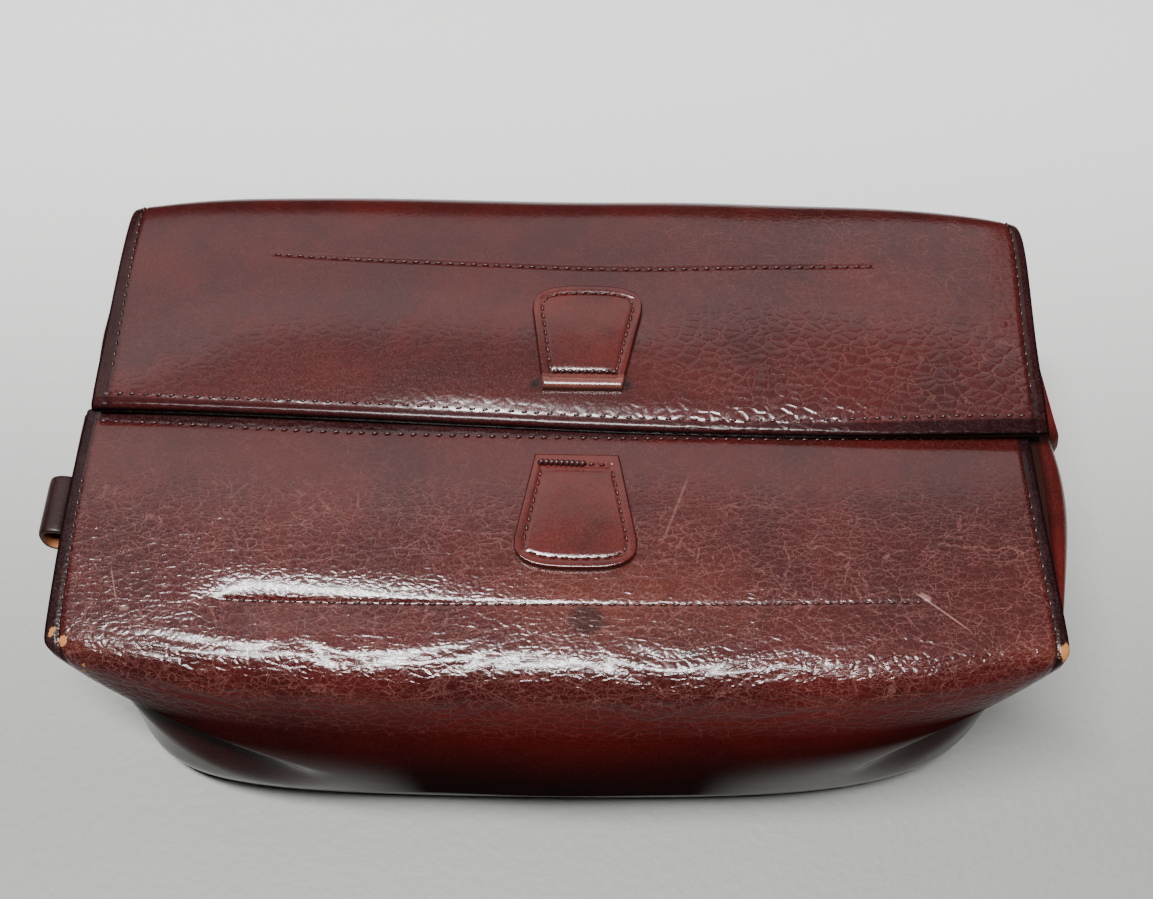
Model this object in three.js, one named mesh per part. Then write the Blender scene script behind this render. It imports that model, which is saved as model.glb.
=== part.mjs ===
// Leather toiletry bag: one wrap of leather makes both flaps, both walls and the base,
// and a soft gusset closes each end. Millimetres, +Z up, +X along the mouth, -Y at the front.
import * as THREE from "three";

// Driving dimensions
const halfLength = 137.5; // middle of the bag to the end of a flap
const bellyHeight = 45; // height at which the walls bulge most
const wallThickness = 2;
const flapThickness = 3; // flaps are two layers, glued and stitched
const gussetThickness = 1.6;
const seamGap = 0.8; // between the wrap's inner face and the gusset's edge
const seamInset = 2.5; // gusset edge, in from the wrap's end
const layGap = 0.35; // between a sewn-on piece and the leather under it

// Reach of the wrap's ends at each level, measured in from the ends of the flaps
const wallDrawIn = 2;
const bellyDrawIn = 8;
const footDrawIn = 10;
const soleDrawIn = 8;

// Overlap at the mouth
const frontLipY = 4;
const frontLipDrop = 1.6;
const frontLipRun = 12; // the front flap starts to fall this far from its edge
const rearLipRise = 1.8;
const rearLipRun = 6;
const frontFlapShift = -2.8; // the front flap sits a little to the left of the rear one
const frontRimShift = -1.2;
const frontCornerReach = 1.2; // the stiff front corners stand out
const rearShoulderShift = 1; // the rear flap widens towards the rim, more at its right end
const rearShoulderReach = 1.9;

// Where the control ring's points stand on the flaps and sole, as shares of the rim's or foot's Y
const rearCrownNear = 0.32;
const rearCrownFar = 0.62;
const frontCrownAt = 0.45;
const soleAt = 0.45;

// Turn at the rim and at the foot, in terms of rimRound and footRound
const rimSlope = 0.2;
const wallBelowRim = 1.3;
const footAboveFloor = 1.2;
const footLean = 1.5; // the foot leans out by this much, in millimetres
const rearWallBlend = 0.3; // the rear wall's top stands between the rim and the belly

// Sections of the wrap from the left end to the right end, as a fraction of the half length.
// Y is negative at the front. rimRound and footRound set how softly the rim and foot turn.
const sections = [
  { at: -1.0, lipY: 1.3, lipZ: 95.6, crownZ: 97.5, rearRimY: 78.5, rearRimZ: 94.5,
    rearBellyY: 70, rearFootY: 70, frontZ: 92.5, frontRimY: -72, frontRimZ: 87.5,
    frontWallY: -70, frontBellyY: -62, frontFootY: -67, rimRound: 7, footRound: 12 },
  { at: -0.95, lipY: 1.3, lipZ: 95.6, crownZ: 98, rearRimY: 79, rearRimZ: 95,
    rearBellyY: 76, rearFootY: 76, frontZ: 92.5, frontRimY: -73.5, frontRimZ: 87.5,
    frontWallY: -78, frontBellyY: -71, frontFootY: -76, rimRound: 8, footRound: 13 },
  { at: -0.8, lipY: 1, lipZ: 95.5, crownZ: 100, rearRimY: 83, rearRimZ: 96.5,
    rearBellyY: 87, rearFootY: 82, frontZ: 93, frontRimY: -77, frontRimZ: 88,
    frontWallY: -84, frontBellyY: -86, frontFootY: -83, rimRound: 12, footRound: 14 },
  { at: -0.45, lipY: 0, lipZ: 95.4, crownZ: 101, rearRimY: 84.5, rearRimZ: 97,
    rearBellyY: 90, rearFootY: 84, frontZ: 93, frontRimY: -80, frontRimZ: 88,
    frontWallY: -88, frontBellyY: -91, frontFootY: -85, rimRound: 15, footRound: 14 },
  { at: 0, lipY: -2.6, lipZ: 95.4, crownZ: 101, rearRimY: 83.5, rearRimZ: 97,
    rearBellyY: 90, rearFootY: 84, frontZ: 93, frontRimY: -80, frontRimZ: 88,
    frontWallY: -88, frontBellyY: -91, frontFootY: -85, rimRound: 15, footRound: 14 },
  { at: 0.45, lipY: -3.8, lipZ: 95.4, crownZ: 101, rearRimY: 84.5, rearRimZ: 97,
    rearBellyY: 90, rearFootY: 84, frontZ: 93, frontRimY: -80, frontRimZ: 88,
    frontWallY: -87, frontBellyY: -90, frontFootY: -84, rimRound: 15, footRound: 14 },
  { at: 0.8, lipY: -2.8, lipZ: 95.5, crownZ: 100, rearRimY: 83.5, rearRimZ: 96.5,
    rearBellyY: 86, rearFootY: 82, frontZ: 93, frontRimY: -76, frontRimZ: 88,
    frontWallY: -82, frontBellyY: -82, frontFootY: -79, rimRound: 12, footRound: 14 },
  { at: 0.95, lipY: -1.8, lipZ: 95.6, crownZ: 98, rearRimY: 79, rearRimZ: 95,
    rearBellyY: 76, rearFootY: 76, frontZ: 92.5, frontRimY: -71.5, frontRimZ: 87.5,
    frontWallY: -75, frontBellyY: -67, frontFootY: -69, rimRound: 8, footRound: 13 },
  { at: 1.0, lipY: -1.7, lipZ: 95.6, crownZ: 97.5, rearRimY: 78, rearRimZ: 94.5,
    rearBellyY: 70, rearFootY: 70, frontZ: 92.5, frontRimY: -70, frontRimZ: 87.5,
    frontWallY: -68, frontBellyY: -59, frontFootY: -61, rimRound: 7, footRound: 12 },
];

// Corner folds of the front wall: a ridge runs down from the rim corner and the leather dips below it
const cornerFolds = [
  { startX: -134, startZ: 80, endX: -68, endZ: 44, depth: 6, width: 10 },
  { startX: 134, startZ: 82, endX: 84, endZ: 40, depth: 6, width: 10 },
];
const foldedWallY = -45; // only leather in front of this takes the folds

// Gussets: how far each end bulges, and the step where its rear half laps over its front half
const gussets = [
  { name: "gusset_left", side: -1, cornerBulge: 2, frontBulge: 6, mouthBulge: 7.5, rearBulge: 7,
    foldStep: 0.6 },
  { name: "gusset_right", side: 1, cornerBulge: 4, frontBulge: 13.5, mouthBulge: 17.5, rearBulge: 7.5,
    foldStep: 1.2 },
];
const foldLean = 4; // the fold line leans to the front below the mouth
const endBulge = 0.3; // share of the bulge left beside the front and rear seams

// Tabs sewn on the flaps, from the narrow end to the rounded end. The rear one's narrow end is a low roll.
const tabThickness = 1.8;
const tabEndRound = 9;
const tabRollLength = 4;
const tabs = [
  { name: "tab_rear", flap: "rear", centreX: 5, narrowY: 7, endY: 41.2, narrowHalf: 12.5, wideHalf: 16.5,
    rollRise: 1 },
  { name: "tab_front", flap: "front", centreX: 3.2, narrowY: -11.8, endY: -47.4, narrowHalf: 12, wideHalf: 17,
    rollRise: 0 },
];

// Loop on the left end: a strap closed into a flat ring
const loop = { width: 18.5, thickness: 1.8, depth: 9.6, rise: 12, frontY: -32.3, topZ: 81.5, backX: -141.6 };

// Facet counts
const panelRows = 24;
const panelColumns = 63;
const gussetRows = 14;
const gussetColumns = 22;
const tabRows = 10;
const tabColumns = 10;

function smooth(low, high, value) {
  return THREE.MathUtils.smoothstep(value, low, high);
}

// Control ring of one section, from the rear flap's lip over the rear wall and base to the front lip
function controlRing(row) {
  const flap = halfLength;
  const frontFlap = halfLength + frontCornerReach;
  const rearMiddle = halfLength + rearShoulderReach / 2;
  const rearShoulder = halfLength + rearShoulderReach;
  const rearCorner = halfLength + rearShoulderShift / 2;
  const wall = halfLength - wallDrawIn;
  const belly = halfLength - bellyDrawIn;
  const foot = halfLength - footDrawIn;
  const sole = halfLength - soleDrawIn;
  const round = row.rimRound;
  const turn = row.footRound;
  const rearWallY = THREE.MathUtils.lerp(row.rearRimY, row.rearBellyY, rearWallBlend);
  const rimRise = rimSlope * round;
  const wallDrop = wallBelowRim * round;
  const footRise = footAboveFloor * turn;
  return [
    { reach: flap, y: row.lipY, z: row.lipZ },
    { reach: flap, y: row.lipY + rearLipRun, z: row.lipZ + rearLipRise },
    { reach: flap, y: row.rearRimY * rearCrownNear, z: row.crownZ },
    { reach: rearMiddle, y: row.rearRimY * rearCrownFar, z: row.crownZ, shift: rearShoulderShift / 2 },
    { reach: rearShoulder, y: row.rearRimY - round, z: row.rearRimZ + rimRise, shift: rearShoulderShift },
    { reach: rearCorner, y: row.rearRimY, z: row.rearRimZ, shift: rearShoulderShift / 2 },
    { reach: wall, y: rearWallY, z: row.rearRimZ - wallDrop },
    { reach: belly, y: row.rearBellyY, z: bellyHeight },
    { reach: foot, y: row.rearFootY + footLean, z: footRise },
    { reach: foot, y: row.rearFootY - footLean, z: 0 },
    { reach: foot, y: row.rearFootY - turn, z: 0 },
    { reach: sole, y: row.rearFootY * soleAt, z: 0 },
    { reach: sole, y: 0, z: 0 },
    { reach: sole, y: row.frontFootY * soleAt, z: 0 },
    { reach: foot, y: row.frontFootY + turn, z: 0 },
    { reach: foot, y: row.frontFootY + footLean, z: 0 },
    { reach: foot, y: row.frontFootY - footLean, z: footRise },
    { reach: belly, y: row.frontBellyY, z: bellyHeight },
    { reach: wall, y: row.frontWallY, z: row.frontRimZ - wallDrop },
    { reach: frontFlap, y: row.frontRimY, z: row.frontRimZ, shift: frontRimShift },
    { reach: frontFlap, y: row.frontRimY + round, z: row.frontRimZ + rimRise, shift: frontRimShift },
    { reach: flap, y: row.frontRimY * frontCrownAt, z: row.frontZ, shift: frontFlapShift },
    { reach: flap, y: frontLipY - frontLipRun, z: row.frontZ - frontLipDrop * 0.4, shift: frontFlapShift },
    { reach: flap, y: frontLipY, z: row.frontZ - frontLipDrop, shift: frontFlapShift },
  ];
}

const controlNet = sections.map((row) =>
  controlRing(row).map(({ reach, y, z, shift = 0 }) => new THREE.Vector3(row.at * reach + shift, y, z)),
);
const ringSize = controlNet[0].length;
const rearRimV = 4 / (ringSize - 3);
const behindLipV = 0.4 / (ringSize - 3); // on the rear flap, just behind the front flap's edge
const rearToeV = 8 / (ringSize - 3);
const frontToeV = 14 / (ringSize - 3);
const frontRimV = 18 / (ringSize - 3);

// Weights of a clamped uniform cubic B-spline with count control points, at t from 0 to 1
function splineWeights(count, t) {
  const spans = count - 3;
  const knot = (index) => THREE.MathUtils.clamp(index - 3, 0, spans);
  const place = THREE.MathUtils.clamp(t * spans, 0, spans - 1e-9);
  const holds = (i) => knot(i) <= place && place < knot(i + 1);
  let weights = Array.from({ length: count + 3 }, (_, i) => (holds(i) ? 1 : 0));
  for (let degree = 1; degree <= 3; degree += 1) {
    weights = weights.slice(0, -1).map((weight, i) => {
      const rise = knot(i + degree) - knot(i);
      const fall = knot(i + degree + 1) - knot(i + 1);
      const before = rise > 0 ? ((place - knot(i)) / rise) * weight : 0;
      const after = fall > 0 ? ((knot(i + degree + 1) - place) / fall) * weights[i + 1] : 0;
      return before + after;
    });
  }
  return weights;
}

// How far a point of the front wall is pushed in by the corner folds
function foldDepth(point) {
  if (point.y > foldedWallY) {
    return 0;
  }
  let depth = 0;
  for (const fold of cornerFolds) {
    const run = new THREE.Vector2(fold.endX - fold.startX, fold.endZ - fold.startZ);
    const from = new THREE.Vector2(point.x - fold.startX, point.z - fold.startZ);
    const along = from.dot(run) / run.lengthSq();
    const below = (Math.sign(run.x) * (run.y * from.x - run.x * from.y)) / run.length();
    const across = smooth(0, fold.width, below) * (1 - smooth(fold.width, 3 * fold.width, below));
    depth += fold.depth * across * smooth(-0.1, 0.15, along) * (1 - smooth(0.6, 1.1, along));
  }
  return depth;
}

// Outer face of the wrap: u runs along the bag from -1 to 1, v round the section from 0 to 1
function panelPoint(u, v) {
  const across = splineWeights(controlNet.length, (u + 1) / 2);
  const around = splineWeights(ringSize, v);
  const point = new THREE.Vector3();
  controlNet.forEach((ring, i) => {
    if (across[i] > 0) {
      ring.forEach((control, j) => point.addScaledVector(control, across[i] * around[j]));
    }
  });
  point.y += foldDepth(point);
  return point;
}

// Outward normal of the wrap, from two short steps on its face
function panelNormal(u, v) {
  const step = 1e-3;
  const right = panelPoint(Math.min(u + step, 1), v).sub(panelPoint(Math.max(u - step, -1), v));
  const round = panelPoint(u, Math.min(v + step, 1)).sub(panelPoint(u, Math.max(v - step, 0)));
  return right.cross(round).normalize();
}

// The leather is doubled on the flaps and single on the walls and base
function panelThickness(v) {
  const rearFlap = 1 - smooth(rearRimV - 0.02, rearRimV + 0.05, v);
  const frontFlap = smooth(frontRimV - 0.05, frontRimV + 0.02, v);
  return wallThickness + (flapThickness - wallThickness) * Math.max(rearFlap, frontFlap);
}

// A point at some depth under the wrap's outer face; a negative depth lies on top of it
function underPanel(u, v, depth) {
  return panelPoint(u, v).addScaledVector(panelNormal(u, v), -depth);
}

// Closed sheet of leather between an outer and an inner face, each a function of two parameters
function closedSheet(rows, columns, outerAt, innerAt) {
  const vertices = [];
  for (const faceAt of [outerAt, innerAt]) {
    for (let i = 0; i <= rows; i += 1) {
      for (let j = 0; j <= columns; j += 1) {
        vertices.push(faceAt(i / rows, j / columns));
      }
    }
  }
  const outer = (i, j) => i * (columns + 1) + j;
  const inner = (i, j) => (rows + 1) * (columns + 1) + outer(i, j);
  const index = [];
  const quad = (a, b, c, d) => index.push(a, b, c, a, c, d);
  for (let i = 0; i < rows; i += 1) {
    for (let j = 0; j < columns; j += 1) {
      quad(outer(i, j), outer(i + 1, j), outer(i + 1, j + 1), outer(i, j + 1));
      quad(inner(i, j), inner(i, j + 1), inner(i + 1, j + 1), inner(i + 1, j));
    }
    quad(outer(i + 1, 0), outer(i, 0), inner(i, 0), inner(i + 1, 0));
    quad(outer(i, columns), outer(i + 1, columns), inner(i + 1, columns), inner(i, columns));
  }
  for (let j = 0; j < columns; j += 1) {
    quad(outer(0, j), outer(0, j + 1), inner(0, j + 1), inner(0, j));
    quad(outer(rows, j + 1), outer(rows, j), inner(rows, j), inner(rows, j + 1));
  }
  return facingOut(new THREE.BufferGeometry().setFromPoints(vertices).setIndex(index));
}

// Turns every face over if the closed body is inside out
function facingOut(geometry) {
  const position = geometry.getAttribute("position");
  const corners = Array.from(geometry.getIndex().array);
  const corner = (i) => new THREE.Vector3().fromBufferAttribute(position, corners[i]);
  let volume = 0;
  for (let i = 0; i < corners.length; i += 3) {
    volume += corner(i).dot(corner(i + 1).cross(corner(i + 2)));
  }
  if (volume < 0) {
    corners.reverse();
    geometry.setIndex(corners);
  }
  return geometry;
}

function panelGeometry() {
  const outerAt = (a, b) => panelPoint(2 * a - 1, b);
  const innerAt = (a, b) => underPanel(2 * a - 1, b, panelThickness(b));
  return closedSheet(panelRows, panelColumns, outerAt, innerAt);
}

// Edge of a gusset, held just inside the wrap's end
function gussetEdge(side, v) {
  const point = underPanel(side, v, panelThickness(v) + seamGap);
  point.x -= side * seamInset;
  return point;
}

// Top edge of a gusset: under the front flap up to the mouth, then under the rear flap
function gussetTop(side, s) {
  if (s <= 0.5) {
    return gussetEdge(side, THREE.MathUtils.lerp(frontRimV, 1, s / 0.5));
  }
  return gussetEdge(side, THREE.MathUtils.lerp(behindLipV, rearRimV, (s - 0.5) / 0.5));
}

// Face of a gusset: a patch filled in from its four edges, s from front to rear and t upwards,
// swelling out most just under the flaps
function gussetPoint({ side, cornerBulge, frontBulge, mouthBulge, rearBulge, foldStep }, s, t) {
  const lerp = THREE.MathUtils.lerp;
  const bottom = gussetEdge(side, lerp(frontToeV, rearToeV, s));
  const top = gussetTop(side, s);
  const front = gussetEdge(side, lerp(frontToeV, frontRimV, t));
  const rear = gussetEdge(side, lerp(rearToeV, rearRimV, t));
  const point = new THREE.Vector3().lerpVectors(bottom, top, t);
  point.add(new THREE.Vector3().lerpVectors(front, rear, s));
  const low = new THREE.Vector3().lerpVectors(gussetEdge(side, frontToeV), gussetEdge(side, rearToeV), s);
  const high = new THREE.Vector3().lerpVectors(gussetEdge(side, frontRimV), gussetEdge(side, rearRimV), s);
  point.sub(low.lerp(high, t));
  const [first, last] = [endBulge * cornerBulge, endBulge * rearBulge];
  const bulges = [0, first, cornerBulge, frontBulge, mouthBulge, rearBulge, last, 0, 0];
  const bulge = splineWeights(bulges.length, s).reduce((sum, weight, i) => sum + weight * bulges[i], 0);
  const swell = (1 - (1 - t) ** 2.5) * Math.sqrt(1 - t ** 8);
  const lap = foldStep * smooth(0.49, 0.52, s) * (1 - smooth(0.5, 0.7, s)) * smooth(0.3, 0.8, t);
  point.x += side * swell * (bulge + lap);
  const lean = foldLean * smooth(0.3, 0.5, s) * (1 - smooth(0.5, 0.8, s));
  point.y -= lean * smooth(0.2, 0.8, t) * (1 - smooth(0.84, 0.97, t));
  return point;
}

// Draws evenly spaced columns closer together at the fold
function nearFold(a) {
  const from = 2 * a - 1;
  return 0.5 + 0.5 * Math.sign(from) * Math.abs(from) ** 1.3;
}

function gussetGeometry(gusset) {
  const outerAt = (a, t) => gussetPoint(gusset, nearFold(a), t);
  const innerAt = (a, t) => {
    const s = nearFold(a);
    const step = 1e-3;
    const [low, high] = [Math.max(s - step, 0), Math.min(s + step, 1)];
    const [down, up] = [Math.max(t - step, 0), Math.min(t + step, 1)];
    const across = gussetPoint(gusset, high, t).sub(gussetPoint(gusset, low, t));
    const rising = gussetPoint(gusset, s, up).sub(gussetPoint(gusset, s, down));
    const normal = across.cross(rising).normalize();
    return gussetPoint(gusset, s, t).addScaledVector(normal, -gusset.side * gussetThickness);
  };
  return closedSheet(gussetColumns, gussetRows, outerAt, innerAt);
}

// Finds where a steadily rising or falling function takes a value
function solve(valueAt, target, low, high) {
  const rising = valueAt(high) > valueAt(low);
  for (let i = 0; i < 30; i += 1) {
    const middle = (low + high) / 2;
    if (valueAt(middle) < target === rising) {
      low = middle;
    } else {
      high = middle;
    }
  }
  return (low + high) / 2;
}

// Point above a flap at a given X and Y
function onFlap(flap, x, y, above) {
  const [first, last] = flap === "rear" ? [0, rearRimV] : [frontRimV, 1];
  const u = solve((value) => panelPoint(value, (first + last) / 2).x, x, -1, 1);
  const v = solve((value) => panelPoint(u, value).y, y, first, last);
  return underPanel(u, v, -above);
}

function tabGeometry({ flap, centreX, narrowY, endY, narrowHalf, wideHalf, rollRise }) {
  const length = Math.abs(endY - narrowY);
  const away = Math.sign(endY - narrowY);
  const faceAt = (above, roll) => (a, b) => {
    const across = Math.sin(Math.PI * (b - 0.5));
    const cornerCut = tabEndRound * (1 - (1 - Math.abs(across) ** 3) ** (1 / 3));
    const run = a * (length - cornerCut);
    const half = THREE.MathUtils.lerp(narrowHalf, wideHalf, Math.min(run / (length - tabEndRound), 1));
    const height = above + roll * (1 - smooth(tabRollLength / 2, tabRollLength, run));
    return onFlap(flap, centreX + across * half, narrowY + away * run, height);
  };
  return closedSheet(tabRows, tabColumns, faceAt(layGap + tabThickness, rollRise), faceAt(layGap, 0));
}

// The loop's ring is drawn in X and Z, then turned so that its width runs along Y
function loopGeometry() {
  const ring = (inset) => {
    const back = loop.backX - inset;
    const front = loop.backX - loop.depth + inset;
    const top = loop.topZ - inset;
    const low = loop.topZ - loop.rise + inset;
    const nose = (top - low) * 0.42;
    const path = new THREE.Path();
    path.moveTo(back, low);
    path.lineTo(back, top);
    path.lineTo(front + nose, top);
    path.bezierCurveTo(front, top, front, top - nose, front, (top + low) / 2);
    path.bezierCurveTo(front, low + nose, front, low, front + nose, low);
    path.closePath();
    return path.getPoints(5);
  };
  const shape = new THREE.Shape(ring(0));
  shape.holes.push(new THREE.Path(ring(loop.thickness)));
  const geometry = new THREE.ExtrudeGeometry(shape, { depth: loop.width, bevelEnabled: false });
  return geometry.rotateX(Math.PI / 2).translate(0, loop.frontY + loop.width, 0);
}

// Antiqued oxblood leather, glossy on the flaps and walls, duller on the gussets
const leather = (color, roughness) => new THREE.MeshStandardMaterial({ color, roughness, metalness: 0 });

const bag = new THREE.Group();
function addPiece(name, geometry, material) {
  const mesh = new THREE.Mesh(geometry, material);
  mesh.name = name;
  bag.add(mesh);
}

addPiece("main_panel", panelGeometry(), leather(0x4a1c1a, 0.3));
for (const gusset of gussets) {
  addPiece(gusset.name, gussetGeometry(gusset), leather(0x431716, 0.35));
}
for (const tab of tabs) {
  addPiece(tab.name, tabGeometry(tab), leather(0x4c1f1c, 0.35));
}
addPiece("side_loop", loopGeometry(), leather(0x3a1c1a, 0.45));

export default bag;
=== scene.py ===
# Leather toiletry bag: the looks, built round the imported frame. Sizes are in millimetres until makeObject.
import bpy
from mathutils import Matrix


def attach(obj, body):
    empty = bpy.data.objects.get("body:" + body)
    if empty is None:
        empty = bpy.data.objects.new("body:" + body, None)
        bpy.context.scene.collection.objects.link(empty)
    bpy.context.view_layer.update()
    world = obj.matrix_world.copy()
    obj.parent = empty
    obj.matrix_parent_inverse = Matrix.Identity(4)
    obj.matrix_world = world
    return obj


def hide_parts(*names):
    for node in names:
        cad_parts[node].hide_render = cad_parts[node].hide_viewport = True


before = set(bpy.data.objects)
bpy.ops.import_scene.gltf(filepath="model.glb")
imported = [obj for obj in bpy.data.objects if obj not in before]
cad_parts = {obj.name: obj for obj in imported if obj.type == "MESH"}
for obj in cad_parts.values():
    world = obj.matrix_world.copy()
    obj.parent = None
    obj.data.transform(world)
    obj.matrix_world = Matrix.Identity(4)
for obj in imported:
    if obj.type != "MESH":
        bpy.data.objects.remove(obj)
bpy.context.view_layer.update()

from types import SimpleNamespace
import bpy
import numpy as np
from mathutils import Matrix

mm = 0.001
seed = 11
sharpAngle = 55  # degrees; edges of sheets sharper than this aren't shaded smooth


def smooth(low, high, x):  # 0 below low, 1 above high, an S-curve between
    t = np.clip((x - low) / (high - low), 0, 1)
    return t * t * (3 - 2 * t)


def bell(x, middle, width):  # 1 at the middle, falling off on both sides
    return np.exp(-(((x - middle) / width) ** 2))


def within(x, low, high, fade):  # 1 between low and high, fading out over a length at each end
    return smooth(low - fade, low, x) * (1 - smooth(high, high + fade, x))


def ripple(key, x, y, wave):  # sum of eight sine waves in seeded directions, about -1 to 1
    rng = np.random.default_rng(seed + key)
    turns, phases, stretches = (rng.uniform(*span, 8) for span in ((0, np.pi), (0, 2 * np.pi), (0.7, 1.5)))
    total = 0
    for turn, phase, stretch in zip(turns, phases, stretches):
        along = x * np.cos(turn) + y * np.sin(turn)
        total = total + np.sin(2 * np.pi * along / (wave * stretch) + phase)
    return total / 4


def rolledEdge(gap, radius):  # drop of a quarter round as the gap to the edge falls below its radius
    left = np.clip(radius - gap, 0, radius)
    return radius - np.sqrt(radius**2 - left**2)


def spaced(count, density):  # parameters from 0 to 1, closer together where the density is higher
    t = np.linspace(0, 1, 4001)
    share = np.cumsum(density(t))
    return np.interp(np.linspace(0, 1, count), (share - share[0]) / (share[-1] - share[0]), t)


def splineWeights(count, t):  # clamped uniform cubic B-spline, one row of weights for each t
    spans = count - 3
    knots = np.concatenate([np.zeros(3), np.arange(spans + 1), np.full(3, spans)])
    t = np.clip(np.asarray(t, float).ravel() * spans, 0, spans - 1e-9)[:, None]
    weights = ((t >= knots[:-1]) & (t < knots[1:])).astype(float)
    for degree in (1, 2, 3):
        rise = knots[degree:-1] - knots[: -degree - 1]
        fall = knots[degree + 1 :] - knots[1:-degree]
        before = (t - knots[: -degree - 1]) / np.where(rise > 0, rise, np.inf) * weights[:, :-1]
        after = (knots[degree + 1 :] - t) / np.where(fall > 0, fall, np.inf) * weights[:, 1:]
        weights = before + after
    return weights


def makeObject(name, points, *faceSets):
    mesh = bpy.data.meshes.new(name)
    mesh.from_pydata((points * mm).tolist(), [], [face for faces in faceSets for face in faces.tolist()])
    mesh.shade_smooth()
    made = bpy.data.objects.new(name, mesh)
    bpy.context.scene.collection.objects.link(made)
    return made


def setMark(piece, key, values):  # one number for each vertex, which materials read by its name
    mark = piece.data.attributes.new(key, "FLOAT", "POINT")
    mark.data.foreach_set("value", values.ravel().astype(np.float32))


def gridFaces(index, closed=(False, False)):  # quads between neighbouring rows and columns of an index grid
    if closed[0]:
        index = np.concatenate([index, index[:1]])
    if closed[1]:
        index = np.concatenate([index, index[:, :1]], 1)
    corners = [index[:-1, :-1], index[1:, :-1], index[1:, 1:], index[:-1, 1:]]
    return np.stack(corners, -1).reshape(-1, 4)


def closedSheet(name, outer, inner, marks, turned=False):
    # outer face on a full grid, inner face on every second row and column, joined by strips round the rim
    rows, columns = outer.shape[:2]
    outerIndex = np.arange(rows * columns).reshape(rows, columns)
    innerIndex = rows * columns + np.arange(inner[..., 0].size).reshape(inner.shape[:2])
    rims = [
        (outerIndex[0], innerIndex[0]),
        (outerIndex[:, -1], innerIndex[:, -1]),
        (outerIndex[-1, ::-1], innerIndex[-1, ::-1]),
        (outerIndex[::-1, 0], innerIndex[::-1, 0]),
    ]
    strips = []
    for edge, under in rims:
        first, middle, last = edge[:-1:2], edge[1::2], edge[2::2]
        strips += [
            np.stack([first, middle, under[:-1]], -1),
            np.stack([middle, under[1:], under[:-1]], -1),
            np.stack([middle, last, under[1:]], -1),
        ]
    faces = [gridFaces(outerIndex), gridFaces(innerIndex)[:, ::-1], np.concatenate(strips)]
    if turned:
        faces = [face[:, ::-1] for face in faces]
    points = np.concatenate([outer.reshape(-1, 3), inner.reshape(-1, 3)])
    made = makeObject(name, points, *faces)
    for key, mark in marks.items():
        setMark(made, key, np.concatenate([mark.ravel(), mark[::2, ::2].ravel()]))
    setMark(made, "inside", np.arange(len(points)) >= rows * columns)
    made.data.set_sharp_from_angle(angle=np.radians(sharpAngle))
    return made


def finishPiece(piece, material, node):
    piece.data.materials.append(material)
    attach(piece, "root")
    if node:
        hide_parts(node)
    print("piece", piece.name, len(piece.data.polygons), "faces")


# The wrap: one piece of leather from the rear lip over the rear wall, base and front wall to the front lip
wrap = {
    "halfLength": 137.5,
    "bellyHeight": 45,
    "wallThickness": 2,
    "flapThickness": 3,
    "drawIn": {"wall": 2, "belly": 8, "foot": 10, "sole": 8},
    "frontLip": {"y": 4, "drop": 1.6, "run": 12},
    "rearLip": {"rise": 1.8, "run": 6},
    "frontFlapShift": -2.8,
    "frontRimShift": -1.2,
    "frontCornerReach": 1.2,
    "rearShoulder": {"shift": 1, "reach": 1.9},
    "crown": {"rearNear": 0.32, "rearFar": 0.62, "front": 0.45, "sole": 0.45},
    "rimSlope": 0.2,
    "wallBelowRim": 1.3,
    "footAboveFloor": 1.2,
    "footLean": 1.5,
    "rearWallBlend": 0.3,
}

# Nine sections from the left end to the right end; Y is negative at the front
wrapSections = {
    "at": [-1, -0.95, -0.8, -0.45, 0, 0.45, 0.8, 0.95, 1],
    "lipY": [1.3, 1.3, 1, 0, -2.6, -3.8, -2.8, -1.8, -1.7],
    "lipZ": [95.6, 95.6, 95.5, 95.4, 95.4, 95.4, 95.5, 95.6, 95.6],
    "crownZ": [97.5, 98, 100, 101, 101, 101, 100, 98, 97.5],
    "rearRimY": [78.5, 79, 83, 84.5, 83.5, 84.5, 83.5, 79, 78],
    "rearRimZ": [94.5, 95, 96.5, 97, 97, 97, 96.5, 95, 94.5],
    "rearBellyY": [70, 76, 87, 90, 90, 90, 86, 76, 70],
    "rearFootY": [70, 76, 82, 84, 84, 84, 82, 76, 70],
    "frontZ": [92.5, 92.5, 93, 93, 93, 93, 93, 92.5, 92.5],
    "frontRimY": [-72, -73.5, -77, -80, -80, -80, -76, -71.5, -70],
    "frontRimZ": [87.5, 87.5, 88, 88, 88, 88, 88, 87.5, 87.5],
    "frontWallY": [-70, -78, -84, -88, -88, -87, -82, -75, -68],
    "frontBellyY": [-62, -71, -86, -91, -91, -90, -82, -67, -59],
    "frontFootY": [-67, -76, -83, -85, -85, -84, -79, -69, -61],
    "rimRound": [7, 8, 12, 15, 15, 15, 12, 8, 7],
    "footRound": [12, 13, 14, 14, 14, 14, 14, 13, 12],
}

# A ridge runs down the front wall from each rim corner, and the leather dips below it
cornerFolds = [
    {"start": (-134, 80), "end": (-68, 44), "depth": 6, "width": 10},
    {"start": (134, 82), "end": (84, 40), "depth": 6, "width": 10},
]
foldedWallY = -45


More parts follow.
